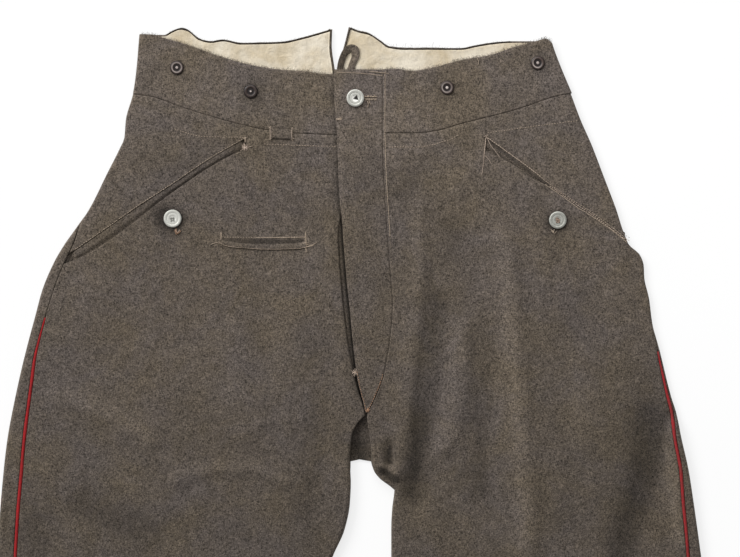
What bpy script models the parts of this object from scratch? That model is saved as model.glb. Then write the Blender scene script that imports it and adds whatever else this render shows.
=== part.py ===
"""Wool military trousers laid flat, front up, built from the pieces that a tailor cuts.

Tables are in millimetres: x from the centre front, with the wearer's right side at -x, and
down from the top of the back. The scene is in metres, +Z up, waist towards +Y, with the
cloth resting on z = 0 and the origin under the middle of its box.
"""
import math
from typing import NamedTuple

import bmesh
import bpy
import numpy as np

MM = 0.001

# Driving sizes, mm
LENGTH = 1092.0  # top of the back to the hem
CENTRE_X = 1.0  # middle of the widest part, from the centre front
WOOL = 2.0
WELT = 1.6
LINING = 1.0
TRIM = 1.2
SEAM_GAP = 0.4  # between two pieces at a seam
LAYER_GAP = 0.3  # between a piece and what it lies on
HIP_SEAM_GAP = 0.8  # between the hip piece's curled edge and the middle of its seam

BACK_MID = WOOL / 2  # height of the middle of the back's wall
FRONT_MID = 5.2  # lowest height of the middle of the front's wall where something lies under it
LOWEST_MID = 4.1  # and anywhere else
LOW_LAYER_BOTTOM = WOOL + LAYER_GAP
FOLD_REACH = 3.0  # half-width of a fold's middle line
FOLD_EDGE = FOLD_REACH + WOOL / 2
QUARTER_TURN = 4.2  # cloth in a quarter turn of a fold
EDGE_STEPS = (0.0, 1.4, 2.8, 4.3)  # columns of points near a panel's edge

PIPING_RADIUS = 1.5
PIPING_GAP = 3.8  # the seam's width where the piping lies in it
PIPING_START_RIGHT = 276.0
PIPING_START_LEFT = 308.0
CROTCH = 411.0
FLY_TIP = 369.0


class OutlineRow(NamedTuple):
    down: float
    edge: float  # outer edge of the lying leg
    seam_in: float  # how far inside that edge the side seam shows


class EdgeRow(NamedTuple):
    down: float
    x: float


class LineRow(NamedTuple):
    x: float
    down: float


class FlyRow(NamedTuple):
    down: float
    left: float  # its free edge
    lift: float  # height of that edge over the sewn one


class FoldRow(NamedTuple):
    x0: float
    down0: float
    x1: float
    down1: float
    rise: float
    reach: float


class ButtonRow(NamedTuple):
    name: str
    x: float
    down: float
    radius: float
    kind: str


RIGHT_OUTLINE = [
    OutlineRow(7, -200, 0), OutlineRow(42, -203, 0), OutlineRow(63, -206, 0),
    OutlineRow(88, -213, 0), OutlineRow(106, -214.5, 0), OutlineRow(114, -218, 0),
    OutlineRow(142, -232, 0), OutlineRow(174, -248, 0), OutlineRow(190, -259, 2),
    OutlineRow(207, -271, 8), OutlineRow(224, -281, 10), OutlineRow(250, -292, 11),
    OutlineRow(276, -299, 10), OutlineRow(306, -307, 9.5), OutlineRow(340, -315, 12),
    OutlineRow(392, -325, 15), OutlineRow(427, -329, 16), OutlineRow(477, -333, 16),
    OutlineRow(544, -336, 17), OutlineRow(601, -329, 16), OutlineRow(668, -312, 14),
    OutlineRow(734, -294, 12), OutlineRow(829, -277, 10), OutlineRow(924, -266, 9),
    OutlineRow(1019, -258, 8), OutlineRow(1092, -253, 8),
]
LEFT_OUTLINE = [
    OutlineRow(16, 192, 0), OutlineRow(38, 200, 0), OutlineRow(64, 210, 0),
    OutlineRow(88, 219, 0), OutlineRow(113, 230, 0), OutlineRow(142, 241, 0),
    OutlineRow(171, 252, 0), OutlineRow(207, 265, 0), OutlineRow(217, 275.5, 0),
    OutlineRow(227, 279, 0), OutlineRow(238, 279.5, 0), OutlineRow(258, 284, 0),
    OutlineRow(281, 287, 0), OutlineRow(308, 294, 2.5), OutlineRow(352, 305, 3.5),
    OutlineRow(366, 309.5, 4.5), OutlineRow(389, 314, 6.5), OutlineRow(420, 321, 8),
    OutlineRow(445, 325, 10), OutlineRow(473, 329, 11.5), OutlineRow(502, 333, 12.5),
    OutlineRow(544, 338, 13), OutlineRow(592, 338, 13), OutlineRow(658, 330, 12),
    OutlineRow(734, 315, 11), OutlineRow(829, 298, 10), OutlineRow(924, 285, 9),
    OutlineRow(1019, 276, 8), OutlineRow(1092, 272, 8),
]
RIGHT_INSEAM = [
    EdgeRow(412, 0.4), EdgeRow(432, 1), EdgeRow(453, 0), EdgeRow(477, -5), EdgeRow(502, -16),
    EdgeRow(544, -30), EdgeRow(601, -48), EdgeRow(668, -63), EdgeRow(734, -74), EdgeRow(829, -84),
    EdgeRow(924, -89), EdgeRow(1019, -92), EdgeRow(1092, -93),
]
LEFT_INSEAM = [
    EdgeRow(412, 20), EdgeRow(420, 22), EdgeRow(428, 28), EdgeRow(434, 36), EdgeRow(439, 42),
    EdgeRow(445, 41.5), EdgeRow(456, 40), EdgeRow(475, 39), EdgeRow(502, 39), EdgeRow(544, 41),
    EdgeRow(592, 47), EdgeRow(658, 58), EdgeRow(734, 70), EdgeRow(829, 84), EdgeRow(924, 94),
    EdgeRow(1019, 102), EdgeRow(1092, 106),
]
# Front edge of each front, from the waist seam to the crotch
RIGHT_FRONT_EDGE = [
    EdgeRow(103, -7), EdgeRow(150, -6), EdgeRow(176, -7), EdgeRow(195, -13), EdgeRow(223, -11),
    EdgeRow(246, -10), EdgeRow(276, -7), EdgeRow(300, -4), EdgeRow(326, 1.5), EdgeRow(343, 6),
    EdgeRow(357, 11.5), EdgeRow(369, 14), EdgeRow(373, 9.5), EdgeRow(386, 2.5), EdgeRow(412, 0.4),
]
LEFT_FRONT_EDGE = [
    EdgeRow(101, 33), EdgeRow(119, 33), EdgeRow(162, 35), EdgeRow(198, 37), EdgeRow(221, 38),
    EdgeRow(245, 39.5), EdgeRow(262, 40.5), EdgeRow(285, 39), EdgeRow(302, 37), EdgeRow(319, 34),
    EdgeRow(334, 31), EdgeRow(346, 26), EdgeRow(357, 21.5), EdgeRow(369, 16), EdgeRow(383, 17.5),
    EdgeRow(397, 19), EdgeRow(412, 20),
]
# The centre back: the notch's sides, then the seam
RIGHT_NOTCH = [EdgeRow(2, -17), EdgeRow(20, -17.5), EdgeRow(35, -15.5), EdgeRow(46, -14)]
LEFT_NOTCH = [EdgeRow(0, -1), EdgeRow(16, -5), EdgeRow(28, -8.5), EdgeRow(37, -11.5), EdgeRow(46, -13)]
CENTRE_BACK = [EdgeRow(62, -12), EdgeRow(120, -8), EdgeRow(220, -1), EdgeRow(320, 5), EdgeRow(411, 9)]

RIGHT_WAIST_SEAM = [
    LineRow(-206, 64), LineRow(-190, 66), LineRow(-176, 70), LineRow(-161, 76), LineRow(-143, 81.5),
    LineRow(-122, 88), LineRow(-102, 93), LineRow(-84, 97), LineRow(-52, 101), LineRow(-7, 103),
]
LEFT_WAIST_SEAM = [
    LineRow(33, 101), LineRow(63, 101), LineRow(83, 98.5), LineRow(104, 92.5), LineRow(126, 87),
    LineRow(148, 81.5), LineRow(169, 75), LineRow(184, 69.5), LineRow(200, 65), LineRow(210, 63.5),
]
RIGHT_BAND_TOP = [
    LineRow(-200, 7), LineRow(-187, 7.5), LineRow(-174, 11.5), LineRow(-161, 15), LineRow(-149, 19),
    LineRow(-124, 28), LineRow(-104, 34), LineRow(-86, 38), LineRow(-64, 41), LineRow(-42, 42.5),
    LineRow(-23, 45), LineRow(-7, 44),
]
LEFT_BAND_TOP = [
    LineRow(33, 40), LineRow(44, 40), LineRow(58, 42), LineRow(74, 40), LineRow(91, 35.5),
    LineRow(109, 31), LineRow(133, 27), LineRow(155, 19.5), LineRow(177, 13.5), LineRow(186, 11.5),
    LineRow(192, 16),
]
RIGHT_BACK_TOP = [
    LineRow(-200, 7), LineRow(-187, 7.5), LineRow(-176, 7.5), LineRow(-169, 4), LineRow(-161, 1),
    LineRow(-154, 2.5), LineRow(-143, 11), LineRow(-132, 13.5), LineRow(-120, 12), LineRow(-104, 15),
    LineRow(-64, 14), LineRow(-49, 11), LineRow(-34, 7), LineRow(-17, 2),
]
LEFT_BACK_TOP = [
    LineRow(-1, 0), LineRow(8, 3.5), LineRow(18, 6), LineRow(29, 13), LineRow(36, 18),
    LineRow(51, 20), LineRow(106, 20), LineRow(119, 17.5), LineRow(134, 15), LineRow(152, 13.5),
    LineRow(177, 13.5), LineRow(192, 16),
]
# The slanted pockets: the hip piece's lower edge, and the front's edge below it
RIGHT_HIP_EDGE = [
    LineRow(-266, 214.5), LineRow(-260, 211), LineRow(-228, 188), LineRow(-201, 168.5),
    LineRow(-168, 147), LineRow(-135, 125), LineRow(-100.5, 105.5),
]
RIGHT_MOUTH = [
    EdgeRow(90, -98.3), EdgeRow(116, -99), EdgeRow(120, -110.6), EdgeRow(132.3, -134.5),
    EdgeRow(149.6, -161), EdgeRow(163, -180), EdgeRow(179, -201), EdgeRow(193.6, -221),
    EdgeRow(207, -241), EdgeRow(217.6, -257), EdgeRow(224, -270),
]
LEFT_HIP_EDGE = [
    LineRow(129.3, 104.6), LineRow(170, 133.8), LineRow(187.7, 148.8), LineRow(210, 164.6),
    LineRow(232, 179), LineRow(264, 203.6),
]
LEFT_MOUTH = [
    EdgeRow(80, 128.6), EdgeRow(117, 127.3), EdgeRow(124, 143), EdgeRow(136, 163),
    EdgeRow(146, 177), EdgeRow(151.2, 187.7), EdgeRow(167, 210), EdgeRow(181.5, 232),
    EdgeRow(206.5, 265),
]
FLY = [
    FlyRow(40.7, -15, 2.3), FlyRow(64, -15, 2.3), FlyRow(101, -12.5, 2.3), FlyRow(141, -11, 2.3),
    FlyRow(162, -10, 2.3), FlyRow(184, -8, 2.3), FlyRow(202, -7, 1.8), FlyRow(221, -5.5, 1.4),
    FlyRow(245, -3.5, 1.2), FlyRow(262, -1.5, 1.2), FlyRow(285, 0.6, 1.2), FlyRow(302, 2.2, 1.2),
    FlyRow(319, 4.2, 1.0), FlyRow(334, 6.2, 0.8), FlyRow(346, 9.2, 0.5), FlyRow(357, 12.6, 0.2),
    FlyRow(366, 14.6, 0.0),
]
UNDERLAP_DOWN = (64, 120, 200, 280, 330, 362)
UNDERLAP_LEFT = -30.0
UNDERLAP_RIGHT = [EdgeRow(64, 18), EdgeRow(200, 20), EdgeRow(300, 18), EdgeRow(362, 14)]

# Heights of the cloth over its lowest level: the general puff of the legs and the largest folds
PUFF_TOP = 250.0
PUFF_FULL = 420.0
PUFF = 1.4
FOLDS = [
    # wearer's left leg
    FoldRow(147, 202, 151, 300, 3.0, 16), FoldRow(152, 320, 166, 480, 3.6, 17),
    FoldRow(166, 480, 182, 610, 2.6, 18), FoldRow(52, 170, 59, 360, 3.0, 14),
    FoldRow(59, 360, 45, 405, 2.6, 12), FoldRow(86, 202, 86, 283, -1.6, 13),
    FoldRow(82, 300, 66, 372, -2.6, 12), FoldRow(64, 380, 58, 440, -2.0, 11),
    FoldRow(124, 300, 124, 450, -1.8, 13), FoldRow(280, 350, 276, 430, -2.4, 15),
    FoldRow(270, 440, 246, 490, -2.0, 15), FoldRow(299, 420, 292, 490, 2.4, 10),
    FoldRow(209, 307, 210, 402, 2.2, 16), FoldRow(94, 380, 98, 402, 2.2, 13),
    FoldRow(290, 640, 180, 675, 2.8, 15), FoldRow(270, 700, 150, 690, -1.8, 14),
    FoldRow(110, 760, 200, 800, 2.4, 15), FoldRow(150, 900, 160, 1040, 2.0, 16),
    # wearer's right leg
    FoldRow(-152, 416, -128, 410, 2.8, 10), FoldRow(-126, 410, -72, 428, 2.8, 10),
    FoldRow(-150, 432, -80, 440, -2.0, 10), FoldRow(-276, 350, -223, 369, 2.4, 12),
    FoldRow(-221, 370, -190, 392, 2.4, 12), FoldRow(-204, 445, -142, 468, 2.4, 12),
    FoldRow(-233, 459, -176, 480, -2.0, 11), FoldRow(-38, 440, -40, 462, -1.8, 12),
    FoldRow(-112, 300, -100, 380, 1.8, 18), FoldRow(-60, 170, -30, 186, -1.0, 10),
    FoldRow(-280, 640, -150, 670, 2.8, 15), FoldRow(-240, 700, -130, 690, -1.8, 14),
    FoldRow(-110, 750, -190, 800, 2.4, 15), FoldRow(-160, 890, -170, 1040, 2.0, 16),
]

BUTTON_SIDES = 14
BUTTONS = [
    ButtonRow("brace_button_1", -164, 39, 6.6, "brace"),
    ButtonRow("brace_button_2", -94, 61.5, 6.6, "brace"),
    ButtonRow("brace_button_3", 92, 58, 6.6, "brace"),
    ButtonRow("brace_button_4", 178, 34.5, 6.6, "brace"),
    ButtonRow("fly_button", 5.1, 68, 8.3, "zinc"),
    ButtonRow("pocket_button_right", -168, 182, 8.5, "zinc"),
    ButtonRow("pocket_button_left", 197, 183.5, 8.3, "zinc"),
]

COLOURS = {
    "wool": (0.135, 0.117, 0.098),
    "wool_dark": (0.062, 0.053, 0.046),
    "lining_cotton": (0.66, 0.56, 0.42),
    "piping_red": (0.36, 0.030, 0.026),
    "horn_dark": (0.030, 0.022, 0.018),
    "zinc": (0.50, 0.51, 0.49),
}


class Curve:
    """A smooth line through table values, which never passes beyond them."""

    def __init__(self, at, values):
        order = np.argsort(at)
        self.at = np.array(at, float)[order]
        self.values = np.array(values, float)[order]
        steps = np.diff(self.values) / np.diff(self.at)
        slopes = np.zeros(len(self.at))
        both = steps[:-1] * steps[1:] > 0
        slopes[1:-1][both] = 2 * steps[:-1][both] * steps[1:][both] / (steps[:-1] + steps[1:])[both]
        slopes[0] = steps[0]
        slopes[-1] = steps[-1]
        self.slopes = slopes

    def __call__(self, where):
        where = min(max(float(where), self.at[0]), self.at[-1])
        k = min(max(int(np.searchsorted(self.at, where)) - 1, 0), len(self.at) - 2)
        span = self.at[k + 1] - self.at[k]
        s = (where - self.at[k]) / span
        return float(
            (1 + 2 * s) * (1 - s) ** 2 * self.values[k]
            + s * (1 - s) ** 2 * span * self.slopes[k]
            + s * s * (3 - 2 * s) * self.values[k + 1]
            - s * s * (1 - s) * span * self.slopes[k + 1]
        )


def curve(table, at, value):
    return Curve([getattr(row, at) for row in table], [getattr(row, value) for row in table])


def smoothstep(low, high, value):
    s = min(max((value - low) / (high - low), 0.0), 1.0)
    return s * s * (3 - 2 * s)


def height(x, down):
    """Height of the middle of the upper layer's wall."""
    total = FRONT_MID + PUFF * smoothstep(PUFF_TOP, PUFF_FULL, down)
    for fold in FOLDS:
        along = np.array([fold.x1 - fold.x0, fold.down1 - fold.down0])
        offset = np.array([x - fold.x0, down - fold.down0])
        share = min(max(float(offset @ along) / float(along @ along), 0.0), 1.0)
        far = float(np.linalg.norm(offset - share * along)) / fold.reach
        total += fold.rise * math.exp(-far * far)
    floor = FRONT_MID - (FRONT_MID - LOWEST_MID) * smoothstep(CROTCH - 20, CROTCH + 40, down)
    return max(total, floor)


def side_end(edge, seam_in, side):
    """Where a front's outer end shows, and how far it curls down the fold (1 is half-way down)."""
    if seam_in >= FOLD_EDGE:
        return edge - side * seam_in, 0.0
    curl = 1 - seam_in / FOLD_EDGE
    return edge - side * FOLD_EDGE * (1 - math.sin(curl * math.pi / 2)), curl


def fold_centre(curl):
    """How far inside a curled edge the cloth lies flat again."""
    return FOLD_EDGE * math.sin(curl * math.pi / 2)


def curled(along, curl):
    """Inset and share of the drop of a point that lies so much cloth from a curled edge."""
    angle = (curl - along / QUARTER_TURN) * math.pi / 2
    if angle > 0:
        return fold_centre(curl) - FOLD_REACH * math.sin(angle), 1 - math.cos(angle)
    return fold_centre(curl) + along - curl * QUARTER_TURN, 0.0


def world(x, down, z):
    return ((x - CENTRE_X) * MM, (LENGTH / 2 - down) * MM, z * MM)


def material(name):
    made = bpy.data.materials.get(name)
    if made is None:
        made = bpy.data.materials.new(name)
        made.use_nodes = True
        shader = made.node_tree.nodes["Principled BSDF"]
        shader.inputs["Base Color"].default_value = (*COLOURS[name], 1.0)
        shader.inputs["Roughness"].default_value = 0.42 if name in ("zinc", "horn_dark") else 0.95
        shader.inputs["Metallic"].default_value = 0.85 if name == "zinc" else 0.0
    return made


def add_object(name, points, faces, finish):
    mesh = bpy.data.meshes.new(name)
    mesh.from_pydata(points, [], faces)
    shape = bmesh.new()
    shape.from_mesh(mesh)
    bmesh.ops.recalc_face_normals(shape, faces=shape.faces)
    shape.to_mesh(mesh)
    shape.free()
    mesh.materials.append(material(finish))
    made = bpy.data.objects.new(name, mesh)
    bpy.context.scene.collection.objects.link(made)
    return made


def wall(name, rows, thickness, finish):
    """A closed wall round rows of middle points (x, down, z), half its thickness to each side."""
    grid = np.array(rows, float)
    across = np.gradient(grid, axis=1, edge_order=2 if grid.shape[1] > 2 else 1)
    along = np.gradient(grid, axis=0, edge_order=2 if grid.shape[0] > 2 else 1)
    normal = np.cross(across, along)
    normal /= np.linalg.norm(normal, axis=2)[:, :, None]
    upper = grid + normal * thickness / 2
    lower = grid - normal * thickness / 2
    count_rows, count_cols = grid.shape[:2]
    points = [world(*p) for p in upper.reshape(-1, 3)] + [world(*p) for p in lower.reshape(-1, 3)]
    low = count_rows * count_cols

    def at(row, col):
        return row * count_cols + col

    faces = []
    for row in range(count_rows - 1):
        for col in range(count_cols - 1):
            quad = [at(row, col), at(row, col + 1), at(row + 1, col + 1), at(row + 1, col)]
            faces.append(quad)
            faces.append([low + i for i in reversed(quad)])
    rim = [at(0, col) for col in range(count_cols)]
    rim += [at(row, count_cols - 1) for row in range(1, count_rows)]
    rim += [at(count_rows - 1, col) for col in range(count_cols - 2, -1, -1)]
    rim += [at(row, 0) for row in range(count_rows - 2, 0, -1)]
    for here, after in zip(rim, rim[1:] + rim[:1]):
        faces.append([here, low + here, low + after, after])
    return add_object(name, points, faces, finish)


def spaced(start, end, steps):
    return [start + (end - start) * k / steps for k in range(steps + 1)]


def panel_row(outer, inner, outer_curl, inner_curl, place, columns, gaps=(SEAM_GAP / 2, SEAM_GAP / 2)):
    """Points across a front panel, from its outer to its inner end. place gives the row's down at x."""
    side = 1 if outer > inner else -1
    cloth = abs(outer - inner)
    from_outer = [curled(gaps[0] + s, outer_curl) for s in EDGE_STEPS]
    from_inner = [curled(gaps[1] + s, inner_curl) for s in EDGE_STEPS]
    row = []
    for inset, drop in from_outer:
        row.append((outer - side * inset, drop, outer - side * fold_centre(outer_curl)))
    first = from_outer[-1][0]
    last = cloth - from_inner[-1][0]
    for inset in spaced(first, last, columns)[1:-1]:
        row.append((outer - side * inset, 0.0, 0.0))
    for inset, drop in reversed(from_inner):
        row.append((inner + side * inset, drop, inner + side * fold_centre(inner_curl)))
    points = []
    for x, drop, fold_x in row:
        down = place(x)
        if drop > 0:
            top = height(fold_x, down)
            points.append((x, down, top - (top - BACK_MID) / 2 * drop))
        else:
            points.append((x, down, height(x, down)))
    return points


def meet(edge, place, guess):
    """The x at which a row crosses an edge that is given by its down."""
    x = guess
    for _ in range(40):
        x = 0.5 * x + 0.5 * edge(place(x))
    return x


def seam_gap(down, piping_start):
    """Half the width of the side seam, which opens for the piping."""
    opened = smoothstep(piping_start - 9, piping_start - 1, down)
    return SEAM_GAP / 2 + (PIPING_GAP - SEAM_GAP) / 2 * opened


def front(name, side, outline, mouth, mouth_end, front_edge, inseam, waist_seam, stations, piping_start):
    edge = curve(outline, "down", "edge")
    seam_in = curve(outline, "down", "seam_in")
    mouth_x = curve(mouth, "down", "x")
    front_x = curve(front_edge, "down", "x")
    inseam_x = curve(inseam, "down", "x")
    seam = curve(waist_seam, "x", "down")
    top = stations[0]
    rows = []
    for down in stations:
        fade = 1 - smoothstep(top, mouth_end, down)

        def place(x, down=down, fade=fade):
            return down + (seam(x) - top) * fade + (SEAM_GAP / 2 if down == top else 0)

        inner = front_x(down) if down < inseam[0].down else inseam_x(down)
        inner_curl = smoothstep(FLY_TIP, CROTCH + 20, down)
        gap = seam_gap(down, piping_start)
        if down < mouth_end:
            outer = meet(mouth_x, place, mouth_x(down))
            outer_curl = smoothstep(mouth_end - 8, mouth_end + 4, down) if seam_in(mouth_end) == 0 else 0
        else:
            outer, outer_curl = side_end(edge(down), seam_in(down), side)
            if seam_in(mouth_end) == 0:
                outer_curl = min(outer_curl, smoothstep(mouth_end - 8, mouth_end + 4, down))
        rows.append(panel_row(outer, inner, outer_curl, inner_curl, place, 12, (gap, SEAM_GAP / 2)))
    return wall(name, rows, WOOL, "wool")


def back(name, side, outline, top_line, notch, inseam, stations, piping_start):
    """The back lies on the surface, curls up at the inseam and wraps over the outer fold."""
    edge = curve(outline, "down", "edge")
    seam_in = curve(outline, "down", "seam_in")
    top = curve(top_line, "x", "down")
    centre_x = curve(notch + CENTRE_BACK, "down", "x")
    inseam_x = curve(inseam, "down", "x")
    first = stations[0]
    rows = []
    for down in stations:
        fade = 1 - smoothstep(first, 60, down)

        def place(x, down=down, fade=fade):
            return down + (top(x) - first) * fade

        outer = edge(place(edge(down)))
        if down < CROTCH + 1:
            inner = meet(centre_x, place, centre_x(down))
        else:
            inner = inseam_x(down)
        inner_curl = smoothstep(CROTCH + 1, CROTCH + 20, down)
        inset_in = seam_in(down)
        wrap = QUARTER_TURN * inset_in / FOLD_EDGE
        if inset_in > FOLD_EDGE:
            wrap = QUARTER_TURN + inset_in - FOLD_EDGE
        length = QUARTER_TURN + wrap - seam_gap(down, piping_start)
        row = []
        for s in EDGE_STEPS:
            inset, drop = curled(SEAM_GAP / 2 + s, inner_curl)
            x = inner + side * inset
            top_z = height(inner + side * fold_centre(inner_curl), place(x))
            row.append((x, place(x), BACK_MID + (top_z - BACK_MID) / 2 * drop))
        start = row[-1][0]
        end = outer - side * FOLD_EDGE
        for x in spaced(start, end, 4)[1:-1]:
            row.append((x, place(x), BACK_MID))
        for share in (0, 0.16, 0.32, 0.48, 0.64, 0.82, 1.0):
            s = share * length
            if s < 2 * QUARTER_TURN:
                angle = s / QUARTER_TURN * math.pi / 2
                x = outer - side * (FOLD_EDGE - FOLD_REACH * math.sin(angle))
                top_z = height(end, place(x))
                z = (top_z + BACK_MID) / 2 - (top_z - BACK_MID) / 2 * math.cos(angle)
            else:
                x = end - side * (s - 2 * QUARTER_TURN)
                z = height(x, place(x))
            row.append((x, place(x), z))
        rows.append(row)
    return wall(name, rows, WOOL, "wool")


def waistband(name, outline, top_line, seam_line, inner):
    edge = curve(outline, "down", "edge")
    top = curve(top_line, "x", "down")
    seam = curve(seam_line, "x", "down")
    rows = []
    for share in (0, 0.15, 0.55, 1):
        def place(x, share=share):
            return top(x) + (seam(x) - SEAM_GAP / 2 - top(x)) * share

        outer = edge(place(edge(20)))
        rows.append(panel_row(outer, inner, 1, 0, place, 12))
    return wall(name, rows, WOOL, "wool")


def hip_piece(name, side, outline, hip_edge, seam_line, inner):
    """A four-sided piece: waist seam above, pocket edge below, side seam outside, short inner end."""
    edge = curve(outline, "down", "edge")
    seam_in = curve(outline, "down", "seam_in")
    seam = curve(seam_line, "x", "down")
    lower = curve(hip_edge, "x", "down")
    corner = hip_edge[0] if side < 0 else hip_edge[-1]
    top_corner = seam_line[0] if side < 0 else seam_line[-1]
    rows = []
    for share in spaced(0, 1, 7):
        outer_down = top_corner.down + SEAM_GAP / 2 + (corner.down - top_corner.down - SEAM_GAP / 2) * share
        outer, curl = side_end(edge(outer_down), seam_in(outer_down), side)
        top_outer = edge(top_corner.down)

        def place(x, share=share, outer=outer, outer_down=outer_down, top_outer=top_outer):
            u = min(max((x - outer) / (inner - outer), 0.0), 1.0)
            upper = seam(top_outer + (inner - top_outer) * u) + SEAM_GAP / 2
            below = lower(corner.x + (inner - corner.x) * u)
            chord = (1 - share) * seam(top_outer) + share * lower(corner.x)
            inset = SEAM_GAP / 2 * (1 - share)
            return (1 - share) * upper + share * below + (1 - u) * (outer_down - chord - inset)

        rows.append(panel_row(outer, inner, curl, 0, place, 9, (HIP_SEAM_GAP, SEAM_GAP / 2)))
    return wall(name, rows, WOOL, "wool")


def flat_strip(name, rows, mid, thickness, finish, columns):
    """A flat piece between a left and a right end on each row."""
    grid = []
    for left, right in rows:
        grid.append([(left[0] + (right[0] - left[0]) * u, left[1] + (right[1] - left[1]) * u, mid)
                     for u in spaced(0, 1, columns)])
    return wall(name, grid, thickness, finish)


def pocket_welt(name, hip_edge, mouth, x_range):
    """The strip in the pocket's mouth, under the hip piece's edge and the front's edge."""
    lower = curve(hip_edge, "x", "down")
    mouth_down = curve(mouth[1:], "x", "down")
    rows = []
    for x in spaced(*x_range, 10):
        rows.append(((x, lower(x) - 6), (x, mouth_down(x) + 6)))
    return flat_strip(name, rows, LOW_LAYER_BOTTOM + WELT / 2, WELT, "wool_dark", 2)


def lining(name, side, top_line, band_top, notch, outer_x, bottom_under):
    """Cream cotton on the back where it shows, with the wool's turned edge left free round it."""
    top = curve(top_line, "x", "down")
    below = curve(band_top, "x", "down")
    notch_x = curve(notch + CENTRE_BACK[:1], "down", "x")
    rows = []
    for share in (0, 0.5, 1):
        def place(x, share=share):
            return (top(x) + 2.2) * (1 - share) + (below(x) + bottom_under) * share

        inner = meet(notch_x, place, notch_x(20)) + side * 2.4
        xs = spaced(outer_x, inner, 14)
        rows.append([(x, place(x), LOW_LAYER_BOTTOM + LINING / 2) for x in xs])
    return wall(name, rows, LINING, "lining_cotton")


def fly_strip():
    left = curve(FLY, "down", "left")
    lift = curve(FLY, "down", "lift")
    sewn = curve(LEFT_FRONT_EDGE, "down", "x")
    downs = [FLY[0].down, 60, 80] + [d for d in LEFT_STATIONS if d < FLY_TIP]
    rows = []
    for down in downs:
        row = []
        right = sewn(down) - SEAM_GAP / 2
        for u in (0, 0.14, 0.4, 0.7, 1):
            x = left(down) + (right - left(down)) * u
            rise = lift(down) * (1 - smoothstep(0.3, 1, u))
            row.append((x, down, height(x, down) + rise))
        rows.append(row)
    return wall("fly_strip", rows, WOOL, "wool")


def raised_strip(name, rows, clear, thickness, finish, columns):
    """A small piece on a panel, made from the panel's points moved out."""
    grid = []
    for left, right in rows:
        row = []
        for u in spaced(0, 1, columns):
            x = left[0] + (right[0] - left[0]) * u
            down = left[1] + (right[1] - left[1]) * u
            row.append((x, down, height(x, down) + WOOL / 2 + clear + thickness / 2))
        grid.append(row)
    return wall(name, grid, thickness, finish)


def watch_pocket_welt():
    lip = [LineRow(-122.5, 206.5), LineRow(-105, 209), LineRow(-74, 210), LineRow(-42.5, 208)]
    lower = curve(lip, "x", "down")
    rows = [((x, lower(x) - 5.5), (x, lower(x) + 0.5)) for x in spaced(-122.5, -42.5, 8)]
    return raised_strip("watch_pocket_welt", rows, LAYER_GAP, TRIM, "wool", 1)


def watch_loop():
    rows = [((x, 95.8 + (x + 75) * 0.06), (x, 106 + (x + 75) * 0.06)) for x in spaced(-75.5, -54.5, 4)]
    return raised_strip("watch_loop", rows, LAYER_GAP, TRIM, "wool", 3)


def hanger_loop():
    """A narrow band bent to a loop, lying on the lining, its ends at the waistband."""
    path = [
        (-9.6, 38.6), (-8.4, 32), (-5.8, 25), (-2.2, 20.2),
        (2.2, 19.8), (4.6, 24), (3.6, 31), (1.8, 37.6),
    ]
    width = 4.8
    points = np.array(path, float)
    run = np.gradient(points, axis=0)
    run /= np.linalg.norm(run, axis=1)[:, None]
    off = np.stack([-run[:, 1], run[:, 0]], axis=1) * width / 2
    rows = [((p - o).tolist(), (p + o).tolist()) for p, o in zip(points, off)]
    bottom = LOW_LAYER_BOTTOM + LINING + LAYER_GAP
    return flat_strip("hanger_loop", rows, bottom + TRIM / 2, TRIM, "wool_dark", 1)


def piping(name, side, outline, stations, start):
    """A round cord in the side seam, half-way between the two edges."""
    edge = curve(outline, "down", "edge")
    seam_in = curve(outline, "down", "seam_in")
    middle = []
    for down in stations:
        if down < start:
            continue
        outer, curl = side_end(edge(down), seam_in(down), side)
        inset, drop = curled(0.0, curl)
        x = outer - side * inset
        top = height(edge(down) - side * FOLD_EDGE if curl > 0 else x, down)
        middle.append((x, down, top - (top - BACK_MID) / 2 * drop))
    sides = 6
    points = []
    for x, down, z in middle:
        for k in range(sides):
            angle = 2 * math.pi * k / sides
            aside = PIPING_RADIUS * math.cos(angle)
            above = PIPING_RADIUS * math.sin(angle)
            points.append(world(x + aside, down, z + above))
    faces = [list(range(sides)), list(range(len(points) - sides, len(points)))]
    for ring in range(len(middle) - 1):
        for k in range(sides):
            here = ring * sides + k
            after = ring * sides + (k + 1) % sides
            faces.append([here, after, after + sides, here + sides])
    return add_object(name, points, faces, "piping_red")


def button(row, on_fly):
    """A turned disc with a raised rim and a sunk middle."""
    profile = [(0, 0), (0.88, 0), (1, 0.9), (0.84, 2.2), (0.62, 1.3), (0, 1.1)]
    base = height(row.x, row.down) + WOOL / 2 + LAYER_GAP + (on_fly if row.name == "fly_button" else 0)
    points = [world(row.x, row.down, base)]
    faces = []
    rings = profile[1:-1]
    for share, z in rings:
        for k in range(BUTTON_SIDES):
            angle = 2 * math.pi * k / BUTTON_SIDES
            points.append(world(row.x + row.radius * share * math.cos(angle),
                                row.down + row.radius * share * math.sin(angle), base + z))
    points.append(world(row.x, row.down, base + profile[-1][1]))
    last = len(points) - 1
    for k in range(BUTTON_SIDES):
        after = (k + 1) % BUTTON_SIDES
        faces.append([0, 1 + k, 1 + after])
        for ring in range(len(rings) - 1):
            low = 1 + ring * BUTTON_SIDES
            faces.append([low + k, low + after, low + BUTTON_SIDES + after, low + BUTTON_SIDES + k])
        top = 1 + (len(rings) - 1) * BUTTON_SIDES
        faces.append([top + k, top + after, last])
    return add_object(row.name, points, faces, "horn_dark" if row.kind == "brace" else "zinc")


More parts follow.
